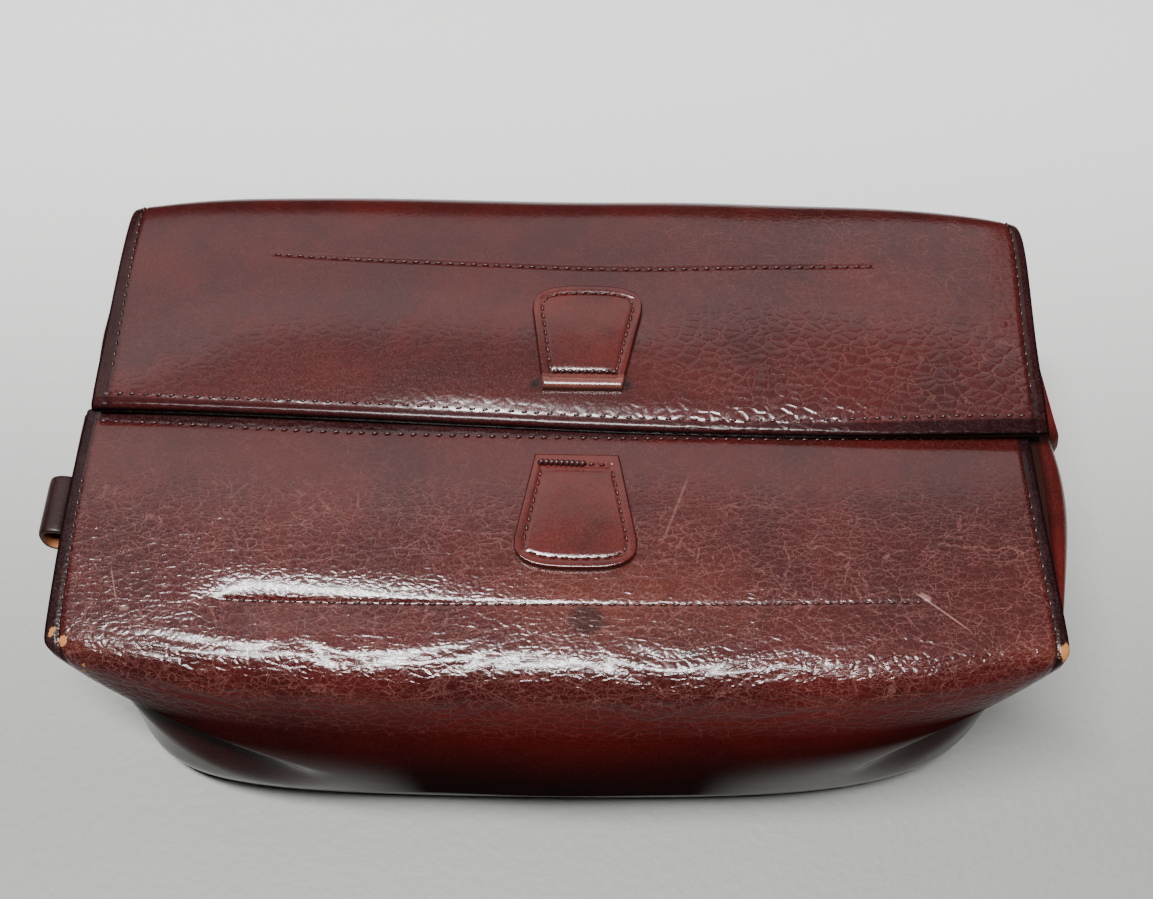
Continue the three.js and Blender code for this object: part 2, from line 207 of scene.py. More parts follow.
def controlNet():  # 24 control points round each section, in the order of the wrap
    row = {name: np.array(column, float) for name, column in wrapSections.items()}
    half, near = wrap["halfLength"], wrap["crown"]
    wall, belly, foot, sole = (half - wrap["drawIn"][level] for level in ("wall", "belly", "foot", "sole"))
    front = half + wrap["frontCornerReach"]
    push, widen = wrap["rearShoulder"]["shift"], wrap["rearShoulder"]["reach"]
    flapPush, rimPush = wrap["frontFlapShift"], wrap["frontRimShift"]
    lip, rise, lean = wrap["frontLip"], wrap["rearLip"], wrap["footLean"]
    rimRise, wallDrop = wrap["rimSlope"] * row["rimRound"], wrap["wallBelowRim"] * row["rimRound"]
    footRise = wrap["footAboveFloor"] * row["footRound"]
    rearWallY = row["rearRimY"] + (row["rearBellyY"] - row["rearRimY"]) * wrap["rearWallBlend"]
    ring = [
        (half, row["lipY"], row["lipZ"], 0),
        (half, row["lipY"] + rise["run"], row["lipZ"] + rise["rise"], 0),
        (half, row["rearRimY"] * near["rearNear"], row["crownZ"], 0),
        (half + widen / 2, row["rearRimY"] * near["rearFar"], row["crownZ"], push / 2),
        (half + widen, row["rearRimY"] - row["rimRound"], row["rearRimZ"] + rimRise, push),
        (half + push / 2, row["rearRimY"], row["rearRimZ"], push / 2),
        (wall, rearWallY, row["rearRimZ"] - wallDrop, 0),
        (belly, row["rearBellyY"], wrap["bellyHeight"], 0),
        (foot, row["rearFootY"] + lean, footRise, 0),
        (foot, row["rearFootY"] - lean, 0, 0),
        (foot, row["rearFootY"] - row["footRound"], 0, 0),
        (sole, row["rearFootY"] * near["sole"], 0, 0),
        (sole, 0, 0, 0),
        (sole, row["frontFootY"] * near["sole"], 0, 0),
        (foot, row["frontFootY"] + row["footRound"], 0, 0),
        (foot, row["frontFootY"] + lean, 0, 0),
        (foot, row["frontFootY"] - lean, footRise, 0),
        (belly, row["frontBellyY"], wrap["bellyHeight"], 0),
        (wall, row["frontWallY"], row["frontRimZ"] - wallDrop, 0),
        (front, row["frontRimY"], row["frontRimZ"], rimPush),
        (front, row["frontRimY"] + row["rimRound"], row["frontRimZ"] + rimRise, rimPush),
        (half, row["frontRimY"] * near["front"], row["frontZ"], flapPush),
        (half, lip["y"] - lip["run"], row["frontZ"] - lip["drop"] * 0.4, flapPush),
        (half, lip["y"], row["frontZ"] - lip["drop"], flapPush),
    ]
    columns = [np.broadcast_arrays(row["at"] * reach + shift, y, z) for reach, y, z, shift in ring]
    return np.stack([np.stack(column, -1) for column in columns], 1).astype(float)


net = controlNet()
spans = net.shape[1] - 3
rearRimV, rearToeV, frontToeV, frontRimV = 4 / spans, 8 / spans, 14 / spans, 18 / spans
behindLipV = 0.4 / spans


def foldDepth(points):  # how far the corner folds push the front wall in
    depth = 0
    for fold in cornerFolds:
        run = np.subtract(fold["end"], fold["start"])
        away = points[..., [0, 2]] - fold["start"]
        along = away @ run / (run @ run)
        below = np.sign(run[0]) * (run[1] * away[..., 0] - run[0] * away[..., 1]) / np.linalg.norm(run)
        dip = smooth(0, fold["width"], below) * (1 - smooth(fold["width"], 3 * fold["width"], below))
        depth = depth + fold["depth"] * dip * smooth(-0.1, 0.15, along) * (1 - smooth(0.6, 1.1, along))
    return np.where(points[..., 1] > foldedWallY, 0, depth)


def wrapPoint(u, v):  # B-spline surface through the net: u from -1 to 1 along the bag, v from 0 to 1 round it
    u, v = np.broadcast_arrays(np.asarray(u, float), np.asarray(v, float))
    across = splineWeights(len(net), (u + 1) / 2) @ net.reshape(len(net), -1)
    points = np.einsum("nj,njk->nk", splineWeights(net.shape[1], v), across.reshape(-1, net.shape[1], 3))
    points = points.reshape(*u.shape, 3)
    points[..., 1] += foldDepth(points)
    return points


def unit(vectors):
    return vectors / np.linalg.norm(vectors, axis=-1, keepdims=True)


def wrapNormal(u, v, step=1e-3):  # outward normal from two short steps on the surface
    along = wrapPoint(np.minimum(u + step, 1), v) - wrapPoint(np.maximum(u - step, -1), v)
    around = wrapPoint(u, np.minimum(v + step, 1)) - wrapPoint(u, np.maximum(v - step, 0))
    return unit(np.cross(along, around))


def wrapThickness(v):  # doubled leather on the flaps, single on the walls and base
    rear = 1 - smooth(rearRimV - 0.02, rearRimV + 0.05, v)
    front = smooth(frontRimV - 0.05, frontRimV + 0.02, v)
    return wrap["wallThickness"] + (wrap["flapThickness"] - wrap["wallThickness"]) * np.maximum(rear, front)


def flapPlace(x, y, front):  # u and v of a point on a flap, by Newton steps from a first guess
    x, y = np.broadcast_arrays(np.asarray(x, float), np.asarray(y, float))
    vRange = (frontRimV - 0.03, 1) if front else (0, rearRimV + 0.03)
    guess = np.linspace(*vRange, 200)
    middle = wrapPoint(0, guess)[:, 1]
    order = np.argsort(middle)
    u, v = x / wrap["halfLength"], np.interp(y, middle[order], guess[order])
    step = 1e-4
    for _ in range(8):
        here = wrapPoint(u, v)[..., :2]
        byU = (wrapPoint(u + step, v)[..., :2] - here) / step
        byV = (wrapPoint(u, v + step)[..., :2] - here) / step
        miss = np.stack([x, y], -1) - here
        det = byU[..., 0] * byV[..., 1] - byU[..., 1] * byV[..., 0]
        moreU = (miss[..., 0] * byV[..., 1] - miss[..., 1] * byV[..., 0]) / det
        moreV = (byU[..., 0] * miss[..., 1] - byU[..., 1] * miss[..., 0]) / det
        u = np.clip(u + moreU, -1, 1 - 2 * step)
        v = np.clip(v + moreV, vRange[0], vRange[1] - 2 * step)
    return u, v


# Stitched hems: gap from the flap's end to the stitch row, at the mouth and at the rim
hems = {
    "rearLeft": {"mouth": 5.0, "rim": 3.6},
    "rearRight": {"mouth": 4.2, "rim": 3.8},
    "frontLeft": {"mouth": 3.4, "rim": 4.8},
    "frontRight": {"mouth": 3.4, "rim": 4.0},
}
# Straight decorative rows across the flaps, from left to right: x and y
fancyRows = {
    "rear": [(-90.6, 54.3), (3, 50.3), (92.7, 53.7)],
    "front": [(-92.3, -56.8), (4.7, -57), (98.4, -54.4)],
}


def hemRow(v, left):  # gap of the stitch row along a flap's end
    rear, front = ("rearLeft", "frontLeft") if left else ("rearRight", "frontRight")
    rearGap = np.interp(v, [0, rearRimV], [hems[rear]["mouth"], hems[rear]["rim"]])
    frontGap = np.interp(v, [frontRimV, 1], [hems[front]["rim"], hems[front]["mouth"]])
    return np.where(v < 0.5, rearGap, frontGap)


# The mouth: the stitch rows beside it, and how the rear flap's edge rises, spreads and reaches over it
mouth = {
    "rearRowGap": {"least": 3, "moreOnRight": 1.4, "moreOnLeft": 0.6},
    "frontRow": {"y": -1.2, "bow": 3.5, "half": 137},
    "middle": {"low": -25, "high": 62, "fade": 45},
    "swell": 0.35,
    "lipRise": {"height": 0.7, "length": 6},
    "lipReach": {"by": 1.1, "length": 7},
    "rearSpread": 1.5,
}


def rearRowGap(x):  # gap from the rear lip to its stitch row, wider towards the ends
    gap = mouth["rearRowGap"]
    return gap["least"] + gap["moreOnRight"] * smooth(40, 130, x) + gap["moreOnLeft"] * smooth(100, 135, -x)


def mouthSwell(x, past):  # rise of the rear flap behind its mouth row, by the distance past the row
    return mouth["swell"] * smooth(0, 5, past) * (1 - smooth(9, 42, past)) * within(x, **mouth["middle"])


def rearSpread(x, z, v):  # the rear flap's right end spreads a little past the front flap's
    return mouth["rearSpread"] * smooth(95, 138, x) * smooth(50, 88, z) * (v < 0.5)


def lipRise(x, gap):  # fullness of the rear lip beside the middle, by the distance from its edge
    rise = mouth["lipRise"]
    return rise["height"] * np.exp(-gap / rise["length"]) * (1 - within(x, **mouth["middle"]))


def frontRowY(x):  # the front flap's mouth row bows forward in the middle
    row = mouth["frontRow"]
    return row["y"] - row["bow"] * (1 - (x / row["half"]) ** 2)


def fancyY(flap, x):  # parabola through the row's three points
    xs, ys = np.transpose(fancyRows[flap])
    return np.polyval(np.polyfit(xs, ys, 2), x)


def fancyEnds(flap):  # x of the row's two ends
    return fancyRows[flap][0][0], fancyRows[flap][-1][0]


wrapLook = {
    "rows": 361,
    "columns": 221,
    "hemGroove": {"depth": 0.28, "width": 0.7},
    "hemTilt": 0.6,
    "rowGroove": {"depth": 0.3, "width": 0.7, "rearMouth": 0.4, "frontMouth": 0.35},
    "frontRowDepth": {"left": 1.3, "less": 0.7},
    "rowPull": {"depth": 1.55, "behind": 10.5, "ahead": 13, "right": 0.12},
    "edgeRound": 1.2,
    "innerEdgeRound": 0.8,
    "lipRound": 2.0,
    "flapWave": {"height": 0.3, "length": 55},
    "wallWave": {"height": 0.45, "length": 80},
    "rimCrease": {"height": 0.38, "pitch": 6.2},
    "rimSquare": {"fromLip": 86, "width": 9},
    "baseLift": 3.2,
    "slit": {"ends": [(-8.9, 9.9), (17.2, 9.9)], "radius": 1.2, "depth": 0.25},
    "stain": (6.7, -61.4),
    "nick": (34.3, -70.4),
    "rubbed": {"at": (18, -58), "reach": (34, 17)},
}
# Bare tan spots on the worn corners, by x and y
cornerSpots = [
    {"at": (-137.4, -66.4), "reach": (1.4, 2), "strength": 0.9},
    {"at": (-134, -68.8), "reach": (1.6, 1.9), "strength": 1.2},
    {"at": (135.8, -67), "reach": (2, 2.6), "strength": 1.3},
    {"at": (136, 77), "reach": (3, 4), "strength": 0.5},
]
# Bare specks below the front left corner, by x and z
cornerSpecks = [
    {"at": (-128.3, 84.8), "reach": (1, 1), "strength": 0.9},
    {"at": (-128.6, 82), "reach": (1.2, 0.9), "strength": 0.9},
]


def spots(places, a, b):  # sum of soft round spots
    total = 0
    for spot in places:
        shape = bell(a, spot["at"][0], spot["reach"][0]) * bell(b, spot["at"][1], spot["reach"][1])
        total = total + spot["strength"] * shape
    return total


def rowPull(x):  # share of the front row's pull: strongest on the left, slight on the right
    left = smooth(-104, -84, x) * (1 - smooth(-72, 6, x))
    return left + wrapLook["rowPull"]["right"] * within(x, 10, 95, 10)


def flapWave(x, y, gap):  # gentle waves on the flaps, none at their ends
    wave = wrapLook["flapWave"]
    return wave["height"] * ripple(1, x, y, wave["length"]) * smooth(5, 14, gap)


def wrapGrid():
    # grid of the wrap, with each point's gaps to the edges and rows and its share of each flap
    arcV = np.linspace(0, 1, 4001)
    section = wrapPoint(0, arcV)
    arc = np.concatenate([[0], np.cumsum(np.linalg.norm(np.diff(section, axis=0), axis=1))])
    length = arc[-1]

    def roundDensity(t):  # by length along the section: fine at the lips and rows, coarse below
        v = np.interp(t * length, arc, arcV)
        y, z = np.interp(v, arcV, section[:, 1]), np.interp(v, arcV, section[:, 2])
        lips = 2.5 * bell(t * length, 0, 6) + 1.5 * bell(t * length, length, 6)
        rows = 1.2 * bell(y, -57, 4) * (z > 80) + 0.8 * bell(y, 51, 4) * (z > 80)
        return np.where((z < 40) | ((y > 70) & (z < 90)), 0.35, 1) + lips + rows

    def alongDensity(t):  # fine at both ends
        return 1 + 3.2 * bell(np.minimum(t, 1 - t) * 2 * wrap["halfLength"], 2, 5)

    v = np.interp(spaced(wrapLook["rows"], roundDensity) * length, arc, arcV)[None, :]
    u = 2 * spaced(wrapLook["columns"], alongDensity)[:, None] - 1
    base = wrapPoint(u, v)
    x, y, z = np.moveaxis(base.copy(), -1, 0)
    ends = wrapPoint(np.array([[-1], [1]]), v)[..., 0]
    leftGap, rightGap = x - ends[:1], ends[1:] - x
    endGap = np.minimum(leftGap, rightGap)
    rowGap = np.where(leftGap < rightGap, hemRow(v, True), hemRow(v, False))
    rearGap = y - wrapPoint(u, 0)[..., 1]
    onRear = (1 - smooth(rearRimV + 0.01, rearRimV + 0.03, v)) + 0 * u
    onFront = smooth(frontRimV - 0.03, frontRimV - 0.005, v) + 0 * u
    run = np.interp(v, arcV, arc) + 0 * u
    slit = wrapLook["slit"]
    slitGaps = [(x - a) ** 2 + (y - b) ** 2 for a, b in slit["ends"]]
    return SimpleNamespace(
        v=v,
        base=base,
        normal=wrapNormal(u, v),
        x=x,
        y=y,
        z=z,
        run=run,
        fromLip=length - run,
        endGap=endGap,
        rowGap=rowGap,
        hemGroove=bell(endGap, rowGap, wrapLook["hemGroove"]["width"]),
        rearGap=rearGap,
        frontGap=wrapPoint(u, 1)[..., 1] - y,
        pastRow=rearGap - rearRowGap(x),
        behind=y - fancyY("front", x),
        slit=sum(np.exp(-gap / slit["radius"] ** 2) for gap in slitGaps) * onRear,
        onRear=onRear,
        onFront=onFront,
        onFlap=onRear + onFront,
    )


def wrapRelief(grid):  # height of the outer face along the normal
    look, x, y, z = wrapLook, grid.x, grid.y, grid.z
    onRear, onFront, onFlap = grid.onRear, grid.onFront, grid.onFlap

    # rolled edges and lips, and hems that slope outwards from their groove
    lipRound = look["lipRound"] * (1 - 0.45 * smooth(60, 100, x) - 0.3 * smooth(112, 128, x))
    relief = -rolledEdge(grid.endGap, look["edgeRound"])
    relief -= onRear * rolledEdge(grid.rearGap, lipRound)
    relief -= onFront * rolledEdge(grid.frontGap, look["edgeRound"])
    hemDepth = look["hemGroove"]["depth"] * (1 + 1.6 * bell(y, -71, 6))
    relief -= onFlap * look["hemTilt"] * np.clip(1 - grid.endGap / grid.rowGap, 0, 1)
    relief -= onFlap * hemDepth * grid.hemGroove

    # grooves under the stitch rows
    groove, frontRow = look["rowGroove"], look["frontRowDepth"]
    mouthRows = groove["rearMouth"] * onRear * bell(grid.rearGap, rearRowGap(x), groove["width"])
    mouthRows += groove["frontMouth"] * onFront * bell(y, frontRowY(x), groove["width"])
    fancyRear = onRear * bell(y, fancyY("rear", x), groove["width"]) * within(x, *fancyEnds("rear"), 2)
    fancyFront = onFront * bell(grid.behind, 0, groove["width"]) * within(x, *fancyEnds("front"), 2)
    frontDepth = frontRow["left"] - frontRow["less"] * smooth(-40, 30, x)
    relief -= groove["depth"] * (mouthRows + fancyRear + frontDepth * fancyFront)

    # the leather slopes down into the front row, and rises from the row behind the rear lip
    pull = look["rowPull"]
    fromBehind = np.clip(1 - grid.behind / pull["behind"], 0, 1) ** 2
    fromAhead = 1 - smooth(0, pull["ahead"], -grid.behind)
    relief -= onFront * pull["depth"] * rowPull(x) * np.where(grid.behind > 0, fromBehind, fromAhead)
    relief += onRear * (mouthSwell(x, grid.pastRow) + lipRise(x, grid.rearGap))
    relief -= look["slit"]["depth"] * grid.slit

    # gentle waves, and creases round the front rim, which is a little square
    relief += onFlap * flapWave(x, y, grid.endGap)
    wall = (1 - onFlap) * smooth(6, 22, z) * smooth(4, 25, grid.endGap)
    relief += look["wallWave"]["height"] * wall * ripple(2, x, z, look["wallWave"]["length"])
    crease, square = look["rimCrease"], look["rimSquare"]
    rim = within(grid.fromLip, 74, 92, 9) * smooth(10, 40, grid.endGap)
    wave = grid.run / crease["pitch"] + 1.1 * ripple(3, x, y, 60) + 0.35 * ripple(4, x, z, 18)
    uneven = 0.6 + 0.4 * ripple(5, x, z, 40)
    relief += crease["height"] * rim * (np.abs(np.sin(np.pi * wave)) - 0.6) * uneven
    return relief + bell(grid.fromLip, square["fromLip"], square["width"]) * smooth(8, 40, grid.endGap)


def wrapMarks(grid):  # masks that the leather's colour, relief and gloss read
    look, x, y, z = wrapLook, grid.x, grid.y, grid.z
    onRear, onFront, wall = grid.onRear, grid.onFront, 1 - grid.onFlap
    cutEdge = 1 - smooth(0.5, 1.5, grid.endGap)
    lipStrip = onRear * (1 - smooth(-0.5, 0.3, grid.pastRow))
    underLip = onFront * smooth(-0.3, 0.5, y - frontRowY(x))
    hem = (onFront + 0.8 * onRear) * (1 - smooth(grid.rowGap - 0.5, grid.rowGap + 0.3, grid.endGap))
    hem = np.maximum(hem, lipStrip * (0.6 + 0.35 * smooth(60, 110, x)))

    # glaze is rubbed off the hems, the lip's ends and most of the walls
    stripShare = 0.45 + 0.45 * np.maximum(smooth(20, 90, -x), smooth(50, 95, x))
    lowEnds = smooth(40, 90, np.abs(x)) * (1 - smooth(40, 60, z))
    wallShare = (1 - smooth(68, 92, z)) * (1 - 0.2 * lowEnds - 0.3 * (1 - smooth(8, 17, z)))
    unglazed = np.maximum(0.65 * hem, lipStrip * stripShare)
    unglazed = np.maximum(unglazed, np.maximum(cutEdge, wall * wallShare))

    # dark ink on the cut edges, darker along the hem's groove, and painted shade in the slit's two ends
    inkAndShade = np.maximum(cutEdge, onRear * (1 - smooth(0.2, 0.9, grid.rearGap)))
    inkAndShade = np.maximum(inkAndShade, np.maximum(np.clip(1.8 * grid.slit, 0, 1), 0.6 * grid.onFlap * grid.hemGroove))

    # bare and rubbed places, a round stain and a nick
    bare = spots(cornerSpots, x, y) + spots(cornerSpecks, x, z)
    patch = spots([{**look["rubbed"], "strength": 1}], x, y) * onFront
    rubbed = patch + 0.8 * smooth(95, 134, np.abs(x)) * bell(grid.fromLip, 76, 8)
    stainGap = np.hypot(x - look["stain"][0], (y - look["stain"][1]) * 1.1)
    stain = (1 - smooth(2.5, 5.5, stainGap)) * 0.75 + bell(stainGap, 4, 1) * 0.3
    stain += 1.2 * bell(x, look["nick"][0], 2.2) * bell(y, look["nick"][1], 0.7)

    # where each grain shows: coarse at the rear mouth, fine on the front flap, pebbled at the front rim
    coarse = onRear * (0.3 + 0.7 * smooth(5, 60, x)) * (1 - smooth(16, 50, y))
    fine = onRear * (0.12 + 0.25 * smooth(0, 75, x)) * (1 - coarse)
    fine = fine + onFront * (0.2 + 0.8 * smooth(12, 40, -y))
    rowPebbles = 0.6 * onFront * rowPull(x) * within(grid.behind, 1, 7, 3)
    # painted shade over the lower left end of the wall
    leftWallShade = 0.8 * smooth(25, 80, -x) * (1 - smooth(66, 86, z))
    return {
        "hem": np.maximum(hem, 0.8 * underLip),
        "inkAndShade": inkAndShade,
        "wear": np.clip(bare * (z > 60), 0, 1.5),
        "brown": np.clip(rubbed, 0, 1),
        "stain": np.clip(stain, 0, 1) * onFront,
        "grain": np.where(grid.onFlap > 0.5, fine, 0.1),
        "frontFlap": onFront,
        "coarse": coarse + underLip * (0.4 + 0.6 * smooth(20, 80, -x)),
        "rim": np.maximum(within(grid.fromLip, 77, 100, 6), rowPebbles),
        # painted light: the upper front wall tinted a brighter red, fading towards its base and weaker at the
        # left end
        "paintedWallLight": wall * smooth(46, 80, z) * (y < 0) * (1 - 0.6 * smooth(30, 75, -x)),
        # painted shade: the wall darkened towards the base and over its left end
        "paintedWallShade": wall * np.maximum(1 - smooth(30, 70, z), leftWallShade),
        "unglazed": unglazed,
    }


def buildWrap():
    # outer face: spline surface plus relief along its normal; inner face: the surface less its thickness
    look, reach, grid = wrapLook, mouth["lipReach"], wrapGrid()
    relief = wrapRelief(grid)
    grid.base[..., 0] += rearSpread(grid.x, grid.z, grid.v)
    grid.base[..., 1] -= grid.onRear * reach["by"] * np.exp(-grid.rearGap / reach["length"])
    grid.x, grid.y, grid.z = np.moveaxis(grid.base, -1, 0)
    outer = grid.base + grid.normal * relief[..., None]
    foot = (1 - smooth(8, 24, grid.z)) * (1 - grid.onFlap)
    lift = np.maximum(smooth(45, 78, -grid.y), smooth(95, 125, np.abs(grid.x))) * foot
    outer[..., 2] = np.maximum(outer[..., 2], 0) + look["baseLift"] * lift  # base's rim, off the floor
    thick = wrapThickness(grid.v[:, ::2]) - rolledEdge(grid.endGap[::2, ::2], look["innerEdgeRound"])
    inner = grid.base[::2, ::2] - grid.normal[::2, ::2] * thick[..., None]
    return closedSheet("main_wrap", outer, inner, wrapMarks(grid))


def toLinear(hexColour):  # sRGB hex to the linear colour that sockets take
    srgb = np.array([int(hexColour[i : i + 2], 16) for i in (1, 3, 5)]) / 255
    linear = np.where(srgb <= 0.04045, srgb / 12.92, ((srgb + 0.055) / 1.055) ** 2.4)
    return (*linear, 1.0)


def perMetre(sizeMm):  # texture scale for a pattern of a real size
    return 1000 / sizeMm


def addNode(tree, kind, links=None, out=None, **settings):
    # adds a node, sets it, links or fills its inputs by name or place, and returns an output
    made = tree.nodes.new("ShaderNode" + kind)
    for key, value in settings.items():
        setattr(made, key, value)
    sockets = [s for s in made.inputs if s.enabled]
    for key, value in (links or {}).items():
        socket = sockets[key] if isinstance(key, int) else next(s for s in sockets if s.name == key)
        if isinstance(value, bpy.types.NodeSocket):
            tree.links.new(value, socket)
        else:
            socket.default_value = value
    return made.outputs[out] if out else next(s for s in made.outputs if s.enabled)


def newMaterial(name):
    material = bpy.data.materials.new(name)
    material.use_nodes = True
    material.node_tree.nodes.clear()
    return material, material.node_tree


def finishMaterial(material, tree, surface):
    shader = addNode(tree, "BsdfPrincipled", surface)
    output = tree.nodes.new("ShaderNodeOutputMaterial")
    tree.links.new(shader, output.inputs["Surface"])
    return material


# Pale scratches on the front flap: middle, direction, length and width
scratches = [
    {"at": (102.8, -56.8), "turn": -37, "length": 20, "width": 0.32, "strength": 0.4},
    {"at": (98.7, -52.9), "turn": -30, "length": 4, "width": 0.9, "strength": 0.35},
    {"at": (-122.3, -53.5), "turn": -73, "length": 12, "width": 0.25, "strength": 0.3},
    {"at": (-118.5, -60), "turn": 10, "length": 3, "width": 0.8, "strength": 0.25},
    {"at": (31, -28), "turn": 70, "length": 24, "width": 0.5, "strength": 0.12},
]


def scratchShare(tree, place, mark):  # 1 on the scratch's line, fading out at its sides and ends
    turn, middle = np.radians(mark["turn"]), (mark["at"][0] * mm, mark["at"][1] * mm, 0)
    away = addNode(tree, "VectorMath", {0: place, 1: middle}, operation="SUBTRACT")
    gaps = []
    for line in ((np.cos(turn), np.sin(turn), 0), (-np.sin(turn), np.cos(turn), 0)):
        gap = addNode(tree, "VectorMath", {0: away, 1: line}, out="Value", operation="DOT_PRODUCT")
        gaps.append(addNode(tree, "Math", {0: gap}, operation="ABSOLUTE"))
    length, width = mark["length"] * mm / 2, mark["width"] * mm
    along = addNode(tree, "MapRange", {0: gaps[0], 1: length, 2: length * 0.6, 4: mark["strength"]})
    across = addNode(tree, "MapRange", {0: gaps[1], 1: width, 2: width * 0.3})
    return addNode(tree, "Math", {0: across, 1: along}, operation="MULTIPLY")


# Noise patterns in the leather: size in millimetres, detail and roughness
leatherNoises = {
    "pores": {"size": 0.55, "detail": 2, "rough": 0.6},
    "folds": {"size": 6, "detail": 2, "rough": 0.5},
    "clouds": {"size": 42, "detail": 5, "rough": 0.62},
    "mottle": {"size": 11, "detail": 6, "rough": 0.7},
    "flakes": {"size": 2.2, "detail": 4, "rough": 0.7},
}
grainWarp = {"size": 4, "by": 1.3}
# Each piece's own attributes, and how strongly some of them tint the dye, among them painted light and
# painted shade on the front wall
leatherMasks = ["hem", "inkAndShade", "wear", "brown", "stain", "grain", "coarse", "rim", "paintedWallLight", "frontFlap"]
leatherMasks += ["paintedWallShade", "unglazed", "inside"]
tintShares = {"paintedWallLight": 0.4, "paintedWallShade": 0.6, "stain": 0.8, "hem": 0.85, "inkAndShade": 0.94}
tints = {
    # painted light on the upper front wall
    "paintedWallLight": "#400606",
    # painted shade towards the wall's base and over its left end
    "wallShadeTint": "#0c0404",
    "stain": "#080303",
    "hemDark": "#060203",
    "hemGrey": "#190f11",
    "scratch": "#7a5d56",
    # real edge ink, also used as painted shade at the slit's ends and on the gussets
    "inkAndShade": "#050303",
    "bare": "#7a4f2c",
}


def antiquedLeather(name, look):
    # Vegetable-tanned cowhide, dyed oxblood, antiqued with a dark wax and glazed to a high gloss.
    # The eye sees dark red with blackish clouds, pale lines between the pebbles, partly worn creases and
    # partly painted glints on their edges, and a sharp sheen.
    material, tree = newMaterial(name)
    place = addNode(tree, "TexCoord", out="Object")
    mask, tinted, noise = {}, {}, {}
    for key in leatherMasks:
        mask[key] = addNode(tree, "Attribute", out="Fac", attribute_name=key)
    for key, share in tintShares.items():
        tinted[key] = addNode(tree, "Math", {0: mask[key], 1: share}, operation="MULTIPLY")
    for key, kind in leatherNoises.items():
        settings = {"Scale": perMetre(kind["size"]), "Detail": kind["detail"], "Roughness": kind["rough"]}
        noise[key] = addNode(tree, "TexNoise", {"Vector": place, **settings})
    warp = addNode(
        tree, "TexNoise", {"Vector": place, "Scale": perMetre(grainWarp["size"]), "Detail": 2}, out="Color"
    )
    warped = {0: warp, 1: (grainWarp["by"] * mm,) * 3, 2: place}
    shifted = addNode(tree, "VectorMath", warped, operation="MULTIPLY_ADD")

    # grain: cells with thin pale lines between them, partly worn creases and partly painted glints on the
    # pebble edges, each pattern where its mask shows it
    broken = addNode(tree, "MapRange", {0: noise["folds"], 1: 0.24, 2: 0.52, 4: look["creaseAndGlintShow"]})
    dotted = addNode(tree, "MapRange", {0: noise["pores"], 1: 0.3, 2: 0.54})
    broken = addNode(tree, "Math", {0: broken, 1: dotted}, operation="MULTIPLY")
    lines, height = 0.0, addNode(tree, "Math", {0: noise["folds"], 1: look["foldRise"]}, operation="MULTIPLY")
    for grain in look["grains"]:
        turn, where = (0, 0, np.radians(grain["turn"])), mask[grain["mask"]]
        laid = addNode(tree, "Mapping", {"Vector": shifted, "Rotation": turn, "Scale": grain["stretch"]})
        cells = {"Vector": laid, "Scale": perMetre(grain["size"])}
        edge = addNode(tree, "TexVoronoi", cells, feature="DISTANCE_TO_EDGE")
        shown = addNode(tree, "Math", {0: where, 1: grain["rise"]}, operation="MULTIPLY")
        domed = {0: edge, 1: 0.0, 2: grain["round"]}
        cell = addNode(tree, "MapRange", domed, interpolation_type="SMOOTHSTEP")
        height = addNode(tree, "Math", {0: cell, 1: shown, 2: height}, operation="MULTIPLY_ADD")
        nearEdge = {0: edge, 1: grain["line"], 2: 0.0}
        crease = addNode(tree, "MapRange", nearEdge, interpolation_type="SMOOTHSTEP")
        pale = addNode(tree, "Math", {0: where, 1: grain["show"]}, operation="MULTIPLY")
        crease = addNode(tree, "Math", {0: crease, 1: pale}, operation="MULTIPLY")
        lines = addNode(tree, "Math", {0: lines, 1: crease}, operation="MAXIMUM")
    lines = addNode(tree, "Math", {0: lines, 1: broken}, operation="MULTIPLY")

    # where each tint lies over the dye
    inClouds = {0: noise["clouds"], 1: 0.34, 2: 0.66}
    cloudy = addNode(tree, "MapRange", inClouds, interpolation_type="SMOOTHSTEP")
    mottled = addNode(tree, "MapRange", {0: noise["mottle"], 1: 0.5, 2: 0.8, 4: 0.4})
    patchy = {0: mask["brown"], 1: noise["clouds"], 2: -0.12}
    rubbed = addNode(tree, "Math", patchy, operation="MULTIPLY_ADD", use_clamp=True)
    pits = addNode(tree, "MapRange", {0: noise["pores"], 1: 0.48, 2: 0.3, 4: 0.35})
    flecks = addNode(tree, "MapRange", {0: noise["pores"], 1: 0.56, 2: 0.76, 4: 0.07})
    greyed = addNode(tree, "Math", {0: noise["mottle"], 1: noise["pores"]}, operation="ADD")
    greyed = addNode(tree, "MapRange", {0: greyed, 1: 0.85, 2: 1.3})
    greys = {"Factor": greyed, "A": toLinear(tints["hemDark"]), "B": toLinear(tints["hemGrey"])}
    strip = addNode(tree, "Mix", greys, data_type="RGBA")
    ragged = addNode(tree, "Math", {0: noise["flakes"], 1: 1.6, 2: mask["wear"]}, operation="MULTIPLY_ADD")
    bare = addNode(tree, "MapRange", {0: ragged, 1: 1.4, 2: 1.55, 4: 0.9})
    scratched = []
    for mark in scratches if look["scratched"] else []:
        shown = {0: scratchShare(tree, place, mark), 1: mask["frontFlap"]}
        scratched.append((addNode(tree, "Math", shown, operation="MULTIPLY"), toLinear(tints["scratch"])))

